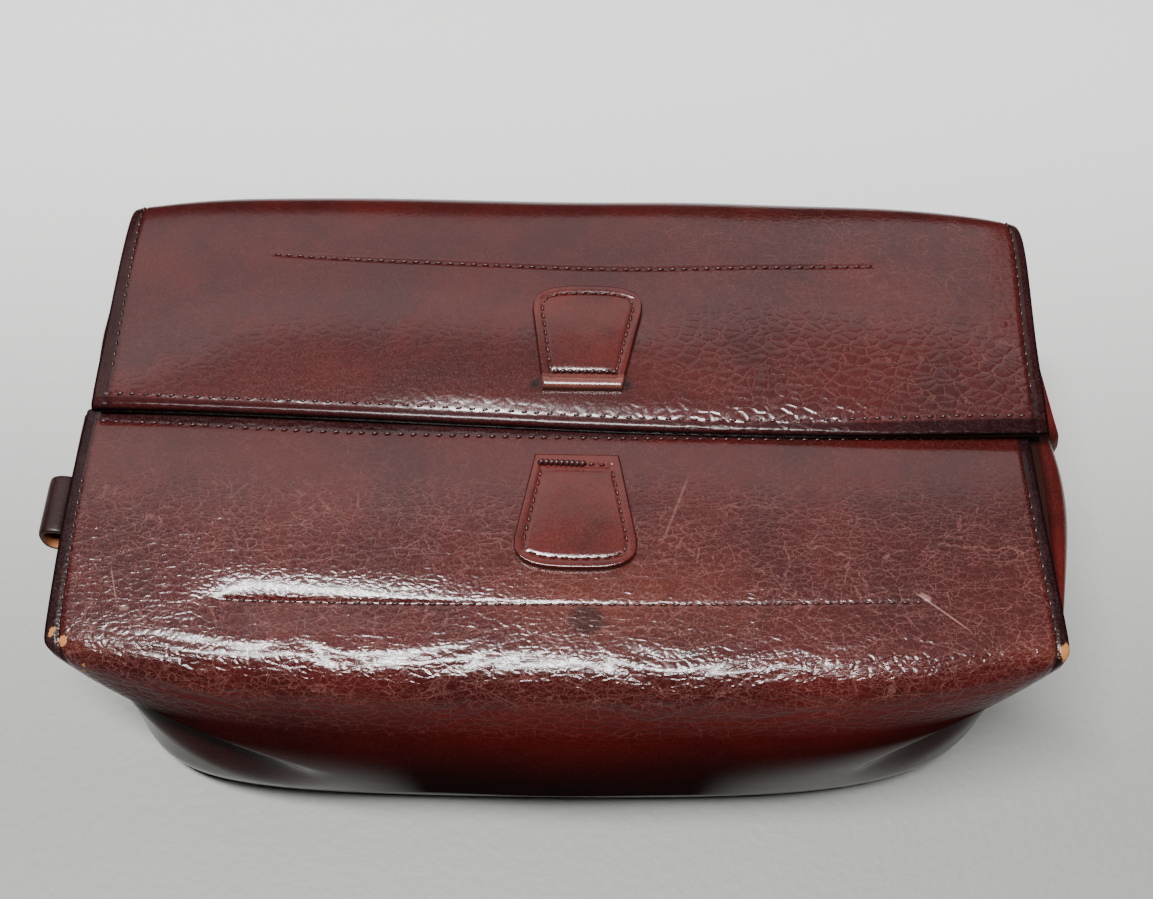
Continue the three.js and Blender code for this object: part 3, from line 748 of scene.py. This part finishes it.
    # colour: clouded dye, then each tint over the ones before it
    clouded = {"Factor": cloudy, "A": toLinear(look["dark"]), "B": toLinear(look["red"])}
    dye = addNode(tree, "Mix", clouded, data_type="RGBA")
    layers = [
        (mottled, toLinear(look["black"])),
        (rubbed, toLinear(look["brown"])),
        # painted light: the upper front wall tinted a brighter red
        (tinted["paintedWallLight"], toLinear(tints["paintedWallLight"])),
        # painted shade: the wall darkened towards its base and left end
        (tinted["paintedWallShade"], toLinear(tints["wallShadeTint"])),
        (pits, toLinear(look["black"])),
        (flecks, toLinear(look["crease"])),
        # pale lines: partly worn creases, partly painted glints on the pebble edges
        (lines, toLinear(look["crease"])),
        (tinted["stain"], toLinear(tints["stain"])),
        (tinted["hem"], strip),
        *scratched,
        # real edge ink, and painted shade at the slit's ends and along the gusset's fold and top
        (tinted["inkAndShade"], toLinear(tints["inkAndShade"])),
        (bare, toLinear(tints["bare"])),
        (mask["inside"], toLinear(look["flesh"])),
    ]
    for share, colour in layers:
        dye = addNode(tree, "Mix", {"Factor": share, "A": dye, "B": colour}, data_type="RGBA")

    # relief: pebbles, soft folds and pores, in millimetres
    height = addNode(tree, "Math", {0: noise["pores"], 1: 0.012, 2: height}, operation="MULTIPLY_ADD")
    relief = addNode(tree, "Bump", {"Height": height, "Distance": mm, "Strength": 1.0})

    # gloss: duller in the pores, on the hems, on bare spots and on the flesh side
    least, most = look["rough"] - 0.05, look["rough"] + 0.08
    gloss = addNode(tree, "MapRange", {0: noise["pores"], 1: 0.3, 2: 0.7, 3: least, 4: most})
    gloss = addNode(tree, "Math", {0: mask["hem"], 1: 0.12, 2: gloss}, operation="MULTIPLY_ADD")
    gloss = addNode(tree, "Math", {0: bare, 1: 0.4, 2: gloss}, operation="MULTIPLY_ADD")
    fleshy = {0: mask["inside"], 1: 0.5, 2: gloss}
    gloss = addNode(tree, "Math", fleshy, operation="MULTIPLY_ADD", use_clamp=True)
    shine, glaze = look["shine"], look["coat"]
    if look["patchyGlaze"]:  # rubbed dull on the walls and hems
        shine = addNode(tree, "MapRange", {0: mask["unglazed"], 3: shine, 4: 0.0})
        glaze = addNode(tree, "MapRange", {0: mask["unglazed"], 3: glaze, 4: 0.1 * glaze})
    surface = {
        "Base Color": dye,
        "Roughness": gloss,
        "Normal": relief,
        "Specular IOR Level": shine,
        "Coat Weight": glaze,
        "Coat Roughness": 0.14,
    }
    return finishMaterial(material, tree, surface)


wrapLeather = {
    "dark": "#210707",
    "red": "#2c0908",
    "black": "#100505",
    "brown": "#401b10",
    # pale line colour: worn creases, and painted glints on the pebble edges
    "crease": "#603f3a",
    "flesh": "#3b251a",
    "grains": [
        {"mask": "grain", "size": 2.1, "stretch": (0.75, 1.25, 1), "turn": 24,
         "rise": 0.025, "round": 0.3, "line": 0.08, "show": 0.25},
        {"mask": "grain", "size": 2.5, "stretch": (0.72, 1.25, 1), "turn": -24,
         "rise": 0.04, "round": 0.25, "line": 0.05, "show": 0.6},
        {"mask": "grain", "size": 9, "stretch": (0.42, 1.5, 1), "turn": 30,
         "rise": 0.025, "round": 0.06, "line": 0.018, "show": 0.6},
        {"mask": "coarse", "size": 3.3, "stretch": (0.8, 1.2, 1), "turn": 20,
         "rise": 0.11, "round": 0.3, "line": 0.06, "show": 0.35},
        {"mask": "rim", "size": 2.6, "stretch": (0.6, 1.15, 1.15), "turn": 4,
         "rise": 0.075, "round": 0.2, "line": 0.06, "show": 0.3},
    ],
    "foldRise": 0.06,
    "creaseAndGlintShow": 0.7,
    "rough": 0.18,
    "shine": 0.2,
    "coat": 0.12,
    "patchyGlaze": True,
    "scratched": True,
}
gussetLeather = {
    **wrapLeather,
    "dark": "#1e0706",
    "red": "#360c0a",
    "flesh": "#160a08",
    "grains": [
        {"mask": "grain", "size": 2, "stretch": (1.6, 1.6, 0.35), "turn": 0,
         "rise": 0.03, "round": 0.2, "line": 0.08, "show": 0.3},
    ],
    "creaseAndGlintShow": 0.3,
    "scratched": False,
}
tabLeather = {
    **wrapLeather,
    "dark": "#270908",
    "red": "#3b100c",
    "brown": "#633f38",
    "grains": [
        {"mask": "grain", "size": 1.6, "stretch": (1, 1, 1), "turn": 0,
         "rise": 0.02, "round": 0.2, "line": 0.09, "show": 0.2},
    ],
    "foldRise": 0.12,
    "creaseAndGlintShow": 0.25,
    "patchyGlaze": False,
    "scratched": False,
}
loopLeather = {
    **tabLeather,
    "dark": "#0d0505",
    "red": "#180808",
    "flesh": "#6b4128",
    "rough": 0.38,
    "shine": 0.12,
    "coat": 0.03,
}

# Gussets: how far each bulges at the front corner, front, mouth and rear, the step where the rear half
# laps over the front half, and how far the middle leans forward
gussets = [
    {"name": "gusset_left", "side": -1, "bulges": (2, 6, 7.5, 7), "foldStep": 0.6, "lean": 4},
    {"name": "gusset_right", "side": 1, "bulges": (4, 13.5, 17, 0.5), "foldStep": 1.1, "lean": 10},
]
gussetLook = {
    "rows": 101,
    "columns": 71,
    "thickness": 1.6,
    "seamGap": 0.8,
    "seamInset": 2.5,
    "endBulge": 0.3,
    "wave": {"height": 0.5, "length": 38},
}


def gussetEdge(side, v):  # the seam, held just inside the wrap's end
    drop = (wrapThickness(v) + gussetLook["seamGap"])[..., None]
    edge = wrapPoint(side, v) - wrapNormal(side + 0 * v, v) * drop
    edge[..., 0] -= side * gussetLook["seamInset"]
    return edge


def foldPlace(t):  # where the rear half laps over the front half, running back as it goes down
    return 0.5 + 0.02 * (1 - smooth(0.75, 0.98, t))


def between(a, b, share):  # straight blend from a to b
    return a + (b - a) * share


def gussetPoint(gusset, s, t):
    # patch filled in from its four edges, s from front to rear and t upwards, swelling out under the flaps
    side, look = gusset["side"], gussetLook
    s, t = np.broadcast_arrays(s, t)
    frontTopV, rearTopV = between(frontRimV, 1, s / 0.5), between(behindLipV, rearRimV, (s - 0.5) / 0.5)
    bottom = gussetEdge(side, between(frontToeV, rearToeV, s))
    top = gussetEdge(side, np.where(s <= 0.5, frontTopV, rearTopV))
    mouthEnds = gussetEdge(side, np.array([1, behindLipV]))
    step = mouthEnds[1] - mouthEnds[0]
    top = top - step * (0, 1, 1) * ((s > 0.5) * (1 - smooth(0.5, 0.62, s)))[..., None]
    front = gussetEdge(side, between(frontToeV, frontRimV, t))
    rear = gussetEdge(side, between(rearToeV, rearRimV, t))
    ends = gussetEdge(side, np.array([frontToeV, rearToeV, frontRimV, rearRimV]))
    up, back = t[..., None], s[..., None]
    flat = between(between(ends[0], ends[1], back), between(ends[2], ends[3], back), up)
    point = between(bottom, top, up) + between(front, rear, back) - flat
    corner, frontBulge, mouthBulge, rearBulge = gusset["bulges"]
    share = look["endBulge"]
    bulges = [0, share * corner, corner, frontBulge, mouthBulge, rearBulge, share * rearBulge, 0, 0]
    bulge = (splineWeights(len(bulges), s) @ np.array(bulges)).reshape(s.shape)
    swell = (1 - (1 - t) ** 2.5) * np.sqrt(1 - t**8)
    past = s - foldPlace(t)
    point[..., 0] -= step[0] * t * (s > 0.5) * (1 - smooth(-0.005, 0.005, past))
    lap = gusset["foldStep"] * smooth(-0.005, 0.01, past) * (1 - smooth(0, 0.2, past)) * smooth(0.3, 0.8, t)
    point[..., 0] += side * swell * (bulge + lap)
    lean = gusset["lean"] * smooth(0.1, 0.5, s) * (1 - smooth(0.5, 0.9, s))
    point[..., 1] -= lean * smooth(0.2, 0.8, t) * (1 - smooth(0.7, 0.98, t))
    wave = look["wave"]
    slack = wave["height"] * ripple(7 + side, point[..., 1], point[..., 2] * 0.5, wave["length"])
    point[..., 0] += side * slack * 16 * (s * (1 - s)) * (t * (1 - t))
    return point


def buildGusset(gusset):
    look = gussetLook
    far = np.linspace(-1, 1, look["rows"])
    s = (0.5 + 0.5 * np.sign(far) * np.abs(far) ** 1.4)[:, None]  # closer together at the fold
    t = np.linspace(0, 1, look["columns"])[None, :]
    outer = gussetPoint(gusset, s, t)
    inner = (outer - np.array([gusset["side"] * look["thickness"], 0, 0]))[::2, ::2]
    fold = bell(s - foldPlace(t), -0.007, 0.008) * smooth(0.5, 0.85, t)
    even = np.ones(outer.shape[:2])
    marks = {
        "grain": 0.7 * even,
        "brown": 0.15 * even,
        # painted shade: dark under the lap at the fold, and a dark band along the top next to the seam
        "inkAndShade": np.maximum(0.8 * fold, smooth(0.96, 0.995, t)),
        "unglazed": smooth(0.92, 0.98, t) * even,
    }
    return closedSheet(gusset["name"] + "_leather", outer, inner, marks, turned=gusset["side"] < 0)


# Tabs sewn on the flaps: from the narrow end at narrowY to the rounded end at endY
tabs = [
    {"name": "tab_rear", "front": False, "roll": 1, "x": 4.4, "shift": 1.5,
     "narrowY": 7.7, "endY": 42.3, "narrow": 11.4, "wide": 16.2},
    {"name": "tab_front", "front": True, "roll": 0, "x": 3.2, "shift": 0,
     "narrowY": -11.4, "endY": -47.4, "narrow": 12, "wide": 17},
]
tabLook = {
    "rows": 81,
    "columns": 81,
    "layGap": 0.35,
    "thickness": 1.8,
    "innerShare": 0.9,
    "endRound": 9,
    "rollRadius": 1.9,
    "rowInset": 2.9,
    "rowGroove": {"depth": 0.35, "width": 0.7},
    "bar": {"run": 5.1, "frontRun": 3.4, "frontSlope": -0.03, "depth": 0.3, "width": 0.9, "inset": 2.5},
    "crown": 0.15,
    "edgeRound": 0.7,
}


def tabPlace(tab, a, b):
    # outline of a tab: a from its narrow end to its rounded end, b across it, as x, y and the gap to the edge
    look = tabLook
    length, away = abs(tab["endY"] - tab["narrowY"]), np.sign(tab["endY"] - tab["narrowY"])
    across = np.sin(np.pi * (b - 0.5))
    cut = look["endRound"] * (1 - (1 - np.abs(across) ** 3) ** (1 / 3))
    run = a * (length - cut)
    half = tab["narrow"] + (tab["wide"] - tab["narrow"]) * np.minimum(run / (length - look["endRound"]), 1)
    gap = np.minimum(np.minimum(half * (1 - np.abs(across)), run + 0 * b), (length - cut) - run)
    middle = tab["x"] + tab["shift"] * run / length
    return middle + across * half, tab["narrowY"] + away * run, gap, run


def buildTab(tab):
    # outer face: the flap's surface plus the tab's height over it; inner face: the same less its thickness
    look, bar, groove = tabLook, tabLook["bar"], tabLook["rowGroove"]

    def edgeFine(t):  # closer together at both ends
        return 1 + 2.5 * bell(np.minimum(t, 1 - t), 0, 0.06)

    a, b = spaced(look["rows"], edgeFine)[:, None], np.linspace(0, 1, look["columns"])[None, :]
    x, y, gap, run = tabPlace(tab, a, b)
    u, v = flapPlace(x, y, tab["front"])
    seat, normal = wrapPoint(u, v), wrapNormal(u, v)
    height = look["layGap"] + look["thickness"] - rolledEdge(gap, look["edgeRound"])
    height -= groove["depth"] * bell(gap, look["rowInset"], groove["width"]) * (run > 3)
    height += look["crown"] * smooth(3.5, 8, gap)
    underBar = np.abs(x - tab["x"]) < tab["narrow"] - bar["inset"]
    height -= bar["depth"] * bell(run, bar["run"], bar["width"]) * underBar
    height += tab["roll"] * np.sqrt(np.clip(1 - (run / look["rollRadius"] - 1) ** 2, 0, 1))
    if not tab["front"]:
        height = height + mouthSwell(x, y - wrapPoint(u, 0)[..., 1] - rearRowGap(x))
    outer = seat + normal * height[..., None]
    inner = (outer - normal * look["thickness"] * look["innerShare"])[::2, ::2]
    inkAndShade = 0.5 * (1 - smooth(0.15, 0.7, gap)) * (1 - tab["roll"] * (run < 3.5))
    marks = {"grain": 0.5 + 0 * x, "inkAndShade": inkAndShade, "brown": 0.15 + 0.85 * tab["roll"] * (run < 4.2)}
    return closedSheet(tab["name"] + "_leather", outer, inner, marks, turned=tab["front"])


# Loop on the left end: a strap closed into a flat ring
loop = {
    "width": 18.5,
    "thickness": 1.8,
    "depth": 9.6,
    "rise": 12,
    "frontY": -32.3,
    "topZ": 81.5,
    "backX": -141.6,
    "steps": 96,
    "sides": 48,
    "turnPower": 0.75,
    "facePower": 0.5,
    "edgePower": 0.16,
}


def squarer(wave, power):  # sine or cosine wave with fuller shoulders for a lower power
    return np.sign(wave) * np.abs(wave) ** power


def buildLoop():
    # middle line: a squarish oval in X and Z; strap section: a rounded bar, long in Y
    a = np.linspace(0, 2 * np.pi, loop["steps"], endpoint=False)[:, None]
    b = np.linspace(0, 2 * np.pi, loop["sides"], endpoint=False)[None, :]
    deep, tall = (loop["depth"] - loop["thickness"]) / 2, (loop["rise"] - loop["thickness"]) / 2
    middleX = deep * squarer(np.cos(a), loop["turnPower"])
    middleZ = tall * squarer(np.sin(a), loop["turnPower"])
    outX, outZ = np.gradient(middleZ, axis=0), -np.gradient(middleX, axis=0)
    outX, outZ = (value / np.hypot(outX, outZ) for value in (outX, outZ))
    out = loop["thickness"] / 2 * squarer(np.sin(b), loop["facePower"])
    x = loop["backX"] - loop["depth"] / 2 + middleX + outX * out
    z = loop["topZ"] - loop["rise"] / 2 + middleZ + outZ * out
    y = loop["frontY"] + loop["width"] / 2 * (1 + squarer(np.cos(b), loop["edgePower"])) + 0 * a
    points = np.stack([x, y, z], -1)
    index = np.arange(x.size).reshape(x.shape)
    made = makeObject("side_loop_leather", points.reshape(-1, 3), gridFaces(index, (True, True)))
    setMark(made, "grain", 0.5 + 0 * x)
    setMark(made, "inside", smooth(0.2, -0.6, np.sin(b)) + 0 * a)
    setMark(made, "inkAndShade", 0.5 * bell(np.sin(b), 0, 0.5) + 0 * a)
    return made


# Stitches: the thread's mesh and its unevenness, then each kind's pitch, length and width
thread = {"sides": 6, "rings": 5, "pitchPlay": 0.05, "slantPlay": 5}
stitchKinds = {
    "hem": {"pitch": 3.6, "length": 2.6, "width": 0.7},
    "mouth": {"pitch": 3.75, "length": 2.3, "width": 0.75},
    "fancy": {"pitch": 3.5, "length": 2.5, "width": 0.62},
    "tab": {"pitch": 2.9, "length": 2.7, "width": 0.6},
    "rearBar": {"pitch": 2.1, "length": 2.5, "width": 1.15},
    "frontBar": {"pitch": 1.5, "length": 2.6, "width": 1.5},
    "frontBarEnd": {"pitch": 2.6, "length": 2.0, "width": 0.75},
}
# Height of each row over its leather, and where the rows start and end: hems in spans of the net, others in x
stitchLook = {
    "hemSunk": -0.25,
    "frontMouthLift": 0.05,
    "fancyRearSunk": -0.15,
    "fancyFrontSunk": {"left": -0.25, "less": 0.15},
    "tabSunk": -0.15,
    "rearBarLift": 0.05,
    "frontBarLift": 0.15,
    "rearHemEnds": (0.55, 3.9),
    "frontHemEnds": (18.05, 20.35),
    "rearMouthEnds": (-131, 133),
    "frontMouthEnds": (-136, 131),
    "rearBarEnds": (-4.4, 14.6),
    "frontBarEnds": (-7.6, 5.6),
    "frontBarTail": (5.8, 12),
}


def atLengths(at, gone, values):  # vectors along a path, read at given lengths
    return np.stack([np.interp(at, gone, values[:, k]) for k in range(3)], -1)


def lengthsOf(path):  # length gone at each point of a path
    return np.concatenate([[0], np.cumsum(np.linalg.norm(np.diff(path, axis=0), axis=1))])


def stitchesAlong(path, up, pitch, length, width, slant, key):
    # short arched threads: a rounded bar bent down at both ends, set at even steps along the path
    gone = lengthsOf(path)
    count = max(int(round(gone[-1] / pitch)), 1)
    at = (np.arange(count) + 0.5) * gone[-1] / count
    jitter = np.random.default_rng(seed + key).uniform(-1, 1, (count, 3))
    at = at + thread["pitchPlay"] * pitch * jitter[:, 0]
    centre, rise = atLengths(at, gone, path), unit(atLengths(at, gone, up))
    ahead = unit(atLengths(at, gone, np.gradient(path, axis=0)))
    aside = np.cross(rise, ahead)
    turn = np.radians(slant + thread["slantPlay"] * jitter[:, 1])[:, None]
    ahead, aside = ahead * np.cos(turn) + aside * np.sin(turn), aside * np.cos(turn) - ahead * np.sin(turn)
    t = np.linspace(-1, 1, thread["rings"] + 2)[1:-1, None]
    ring = np.linspace(0, 2 * np.pi, thread["sides"] + 1)[None, :-1]
    girth = width / 2 * np.sqrt(1 - (t * 0.92) ** 4)
    arch = 0.35 * width * (1 - 2.2 * t**2)
    local = np.stack([t * length / 2 + 0 * ring, girth * np.cos(ring), arch + girth * np.sin(ring)], -1)
    caps = np.array([[-length / 2, 0, -0.5 * width], [length / 2, 0, -0.5 * width]])
    local = np.concatenate([local.reshape(-1, 3), caps])
    frames = np.stack([ahead, aside, rise], 1)
    points = centre[:, None] + np.einsum("pk,nkd->npd", local, frames)
    grid = np.arange(thread["rings"] * thread["sides"]).reshape(thread["rings"], thread["sides"])
    quads = gridFaces(grid, (False, True))[:, ::-1]
    low, high = grid.size, grid.size + 1
    ends = np.concatenate(
        [
            np.stack([np.full(thread["sides"], low), grid[0], np.roll(grid[0], -1)], -1)[:, ::-1],
            np.stack([np.full(thread["sides"], high), np.roll(grid[-1], -1), grid[-1]], -1)[:, ::-1],
        ]
    )
    shift = (np.arange(count) * len(local))[:, None, None]
    return points.reshape(-1, 3), (quads + shift).reshape(-1, 4), (ends + shift).reshape(-1, 3)


def flapRow(x, y, front, lift):  # path on a flap and its upward direction
    u, v = flapPlace(x, y, front)
    up = wrapNormal(u, v)
    return wrapPoint(u, v) + up * np.reshape(lift, (-1, 1)), up


def sewnRow(x, y, front, lift):  # a row that follows the flap's waves
    return flapRow(x, y, front, lift + flapWave(x, y, wrap["halfLength"] - np.abs(x)))


def endRow(v, left, lift):  # path along a flap's end, at the hem's gap
    side = -1 if left else 1
    edge = wrapPoint(side, v)
    u = side * np.ones_like(v)
    for _ in range(6):
        gap = np.abs(wrapPoint(u, v)[:, 0] - edge[:, 0])
        u = u - side * (hemRow(v, left) - gap) / wrap["halfLength"]
    up = wrapNormal(u, v)
    path = wrapPoint(u, v)
    path[:, 0] += rearSpread(path[:, 0], path[:, 2], v)
    return path + up * lift, up


def swellAt(path, tab):  # rise of the flap under a row of stitches on a tab
    lipY = wrapPoint(path[:, 0] / wrap["halfLength"], 0)[:, 1]
    return (not tab["front"]) * mouthSwell(path[:, 0], path[:, 1] - lipY - rearRowGap(path[:, 0]))


def tabRow(tab, lift):  # a fixed inset from the tab's edge: up one side, over the end, down the other
    inset, endRound, away = tabLook["rowInset"], tabLook["endRound"], np.sign(tab["endY"] - tab["narrowY"])
    length = abs(tab["endY"] - tab["narrowY"])
    run = np.linspace(tabLook["bar"]["run"], length - inset, 60)
    half = tab["narrow"] + (tab["wide"] - tab["narrow"]) * np.minimum(run / (length - endRound), 1) - inset
    cut = np.clip((run - (length - endRound)) / (endRound - inset), 0, 1)
    half = half * (1 - cut**3) ** (1 / 3)
    x = np.concatenate([-half, half[::-1][1:]])
    y = np.concatenate([run, run[::-1][1:]])
    x = tab["x"] + tab["shift"] * y / length + x
    path, up = flapRow(x, tab["narrowY"] + away * y, tab["front"], lift)
    return path + up * swellAt(path, tab)[:, None], up


def barRow(tab, reach, lift):  # straight across the tab near its narrow end
    away, bar = np.sign(tab["endY"] - tab["narrowY"]), tabLook["bar"]
    x = np.linspace(*reach, 30)
    slope = bar["frontSlope"] * (x - tab["x"]) if tab["front"] else 0 * x
    run = bar["frontRun"] if tab["front"] else bar["run"]
    path, up = flapRow(x, tab["narrowY"] + away * run + slope, tab["front"], lift)
    return path + up * swellAt(path, tab)[:, None], up


def resample(path, up, count=400):  # even steps along a path
    gone = lengthsOf(path)
    even = np.linspace(0, gone[-1], count)
    return atLengths(even, gone, path), atLengths(even, gone, up)


def buildStitches():
    look = stitchLook
    rows = []  # kind, slant in degrees, and the path with its upward direction
    for key in ("rearHemEnds", "frontHemEnds"):
        v = np.linspace(*look[key], 200) / spans
        for left, slant in ((True, 8), (False, -8)):
            rows.append(("hem", slant, endRow(v, left, look["hemSunk"])))
    rearX, frontX = (np.linspace(*look[key], 400) for key in ("rearMouthEnds", "frontMouthEnds"))
    along = np.linspace(-1, 1, 400)
    rearGap = rearRowGap(rearX)
    rearY = np.interp(rearX, along * wrap["halfLength"], wrapPoint(along, 0)[:, 1]) + rearGap
    rows.append(("mouth", 12, sewnRow(rearX, rearY, False, lipRise(rearX, rearGap))))
    rows.append(("mouth", 16, sewnRow(frontX, frontRowY(frontX), True, look["frontMouthLift"])))
    rearX, frontX = (np.linspace(*fancyEnds(flap), 300) for flap in ("rear", "front"))
    sunk = look["fancyFrontSunk"]
    pull = wrapLook["rowPull"]["depth"] * rowPull(frontX)
    frontSunk = sunk["left"] + sunk["less"] * smooth(-40, 30, frontX) - pull
    rows.append(("fancy", 6, sewnRow(rearX, fancyY("rear", rearX), False, look["fancyRearSunk"])))
    rows.append(("fancy", 6, sewnRow(frontX, fancyY("front", frontX), True, frontSunk)))
    onTab = tabLook["layGap"] + tabLook["thickness"]
    for tab in tabs:
        rows.append(("tab", 8, tabRow(tab, onTab + look["tabSunk"])))
    rows.append(("rearBar", 14, barRow(tabs[0], look["rearBarEnds"], onTab + look["rearBarLift"])))
    rows.append(("frontBar", 38, barRow(tabs[1], look["frontBarEnds"], onTab + look["frontBarLift"])))
    rows.append(("frontBarEnd", 14, barRow(tabs[1], look["frontBarTail"], onTab)))
    points, quads, ends, total = [], [], [], 0
    for key, (kind, slant, row) in enumerate(rows):
        made = stitchesAlong(*resample(*row), slant=slant, key=key, **stitchKinds[kind])
        points.append(made[0])
        quads.append(made[1] + total)
        ends.append(made[2] + total)
        total += len(made[0])
    return makeObject("stitches", np.concatenate(points), np.concatenate(quads), np.concatenate(ends))


def waxedThread(name):
    # Waxed linen thread, twisted and blackened: near-black with a dull waxy shine on the tops
    material, tree = newMaterial(name)
    place = addNode(tree, "TexCoord", out="Object")
    dust = addNode(tree, "TexNoise", {"Vector": place, "Scale": perMetre(2.5), "Detail": 3})
    dusty = {"Factor": dust, "A": toLinear("#140708"), "B": toLinear("#301815")}
    colour = addNode(tree, "Mix", dusty, data_type="RGBA")
    twist = addNode(tree, "TexNoise", {"Vector": place, "Scale": perMetre(0.4)})
    relief = addNode(tree, "Bump", {"Height": twist, "Distance": 0.05 * mm, "Strength": 1.0})
    surface = {"Base Color": colour, "Roughness": 0.32, "Specular IOR Level": 0.3, "Normal": relief}
    return finishMaterial(material, tree, surface)


def floorWithPaintedFalloff(name):
    # Floor: matt pale grey with a faint tooth, with painted shade towards the front and painted light towards
    # the back
    material, tree = newMaterial(name)
    place = addNode(tree, "TexCoord", out="Object")
    grit = addNode(tree, "TexNoise", {"Vector": place, "Scale": perMetre(3), "Detail": 4})
    relief = addNode(tree, "Bump", {"Height": grit, "Distance": 0.2 * mm, "Strength": 1.0})
    depth = addNode(tree, "SeparateXYZ", {"Vector": place}, out="Y")
    # painted shade and light: the floor darker towards the front, lighter towards the back
    back = addNode(tree, "MapRange", {0: depth, 1: -0.1, 2: 0.28}, interpolation_type="SMOOTHSTEP")
    greys = {"Factor": back, "A": toLinear("#5f5f5d"), "B": toLinear("#a9a9a8")}
    paintedFalloff = addNode(tree, "Mix", greys, data_type="RGBA")
    return finishMaterial(material, tree, {"Base Color": paintedFalloff, "Roughness": 0.6, "Normal": relief})


wrapMaterial = antiquedLeather("oxblood_wrap_leather", wrapLeather)
gussetMaterial = antiquedLeather("oxblood_gusset_leather", gussetLeather)
tabMaterial = antiquedLeather("oxblood_tab_leather", tabLeather)
loopMaterial = antiquedLeather("plum_loop_leather", loopLeather)
finishPiece(buildWrap(), wrapMaterial, "main_panel")
for gusset in gussets:
    finishPiece(buildGusset(gusset), gussetMaterial, gusset["name"])
for tab in tabs:
    finishPiece(buildTab(tab), tabMaterial, tab["name"])
finishPiece(buildLoop(), loopMaterial, "side_loop")
finishPiece(buildStitches(), waxedThread("waxed_thread"), None)

# Floor, lights and camera
floorReach = 3000
floorCorners = np.array([[-1, -1, 0], [1, -1, 0], [1, 1, 0], [-1, 1, 0]]) * floorReach
floor = makeObject("floor", floorCorners.astype(float), np.array([[0, 1, 2, 3]]))
floor.data.materials.append(floorWithPaintedFalloff("floor_painted_falloff"))

lamps = [
    {"name": "keyStrip", "at": (-140, -290, 1530), "aim": (-20, -40, 90), "size": (950, 130), "watts": 110},
    {"name": "rearPanel", "at": (-220, 1100, 1300), "aim": (0, 0, 60), "size": (2400, 950), "watts": 16},
    {"name": "ceilingPanel", "at": (0, 450, 1700), "aim": (0, 450, 0), "size": (2200, 1500), "watts": 9},
]


def lookingAt(place, aim):  # camera or lamp matrix whose -Z points from its place to the aim
    back = unit(np.subtract(place, aim).astype(float))
    right = unit(np.cross((0, 1, 0) if abs(back[2]) > 0.99 else (0, 0, 1), back))
    turn = np.stack([right, np.cross(back, right), back], 1)
    matrix = np.eye(4)
    matrix[:3, :3], matrix[:3, 3] = turn, np.array(place) * mm
    return Matrix(matrix.tolist())


for lamp in lamps:
    light = bpy.data.lights.new(lamp["name"], "AREA")
    light.shape = "RECTANGLE"
    light.size, light.size_y = (side * mm for side in lamp["size"])
    light.energy = lamp["watts"]
    shone = bpy.data.objects.new(lamp["name"], light)
    shone.matrix_world = lookingAt(lamp["at"], lamp["aim"])
    bpy.context.scene.collection.objects.link(shone)

studio = {"grey": "#c8c9c8", "strength": 0.12}
world = bpy.data.worlds.new("studio")
world.use_nodes = True
world.node_tree.nodes["Background"].inputs["Color"].default_value = toLinear(studio["grey"])
world.node_tree.nodes["Background"].inputs["Strength"].default_value = studio["strength"]
bpy.context.scene.world = world

# Camera matched to the photograph: place, lens and sensor in millimetres, angles in degrees, clip in metres
view = {
    "at": (3.428, -231.046, 460.435),
    "down": 58.866,
    "yaw": -0.099,
    "roll": 0.907,
    "lens": 46.83,
    "sensor": 36,
    "clip": (0.01, 20),
}
down, yaw, roll = np.radians([view["down"], view["yaw"], view["roll"]])
ahead = np.array([np.sin(yaw) * np.cos(down), np.cos(yaw) * np.cos(down), -np.sin(down)])
level = np.array([np.cos(yaw), -np.sin(yaw), 0])
over = np.cross(level, ahead)
right, top = np.cos(roll) * level + np.sin(roll) * over, np.cos(roll) * over - np.sin(roll) * level
pose = np.eye(4)
pose[:3, :3], pose[:3, 3] = np.stack([right, top, -ahead], 1), np.array(view["at"]) * mm
camera = bpy.data.objects.new("camera", bpy.data.cameras.new("camera"))
camera.data.lens, camera.data.sensor_width = view["lens"], view["sensor"]
camera.data.clip_start, camera.data.clip_end = view["clip"]
camera.matrix_world = Matrix(pose.tolist())
bpy.context.scene.collection.objects.link(camera)
bpy.context.scene.camera = camera
print("lights, floor and camera placed")
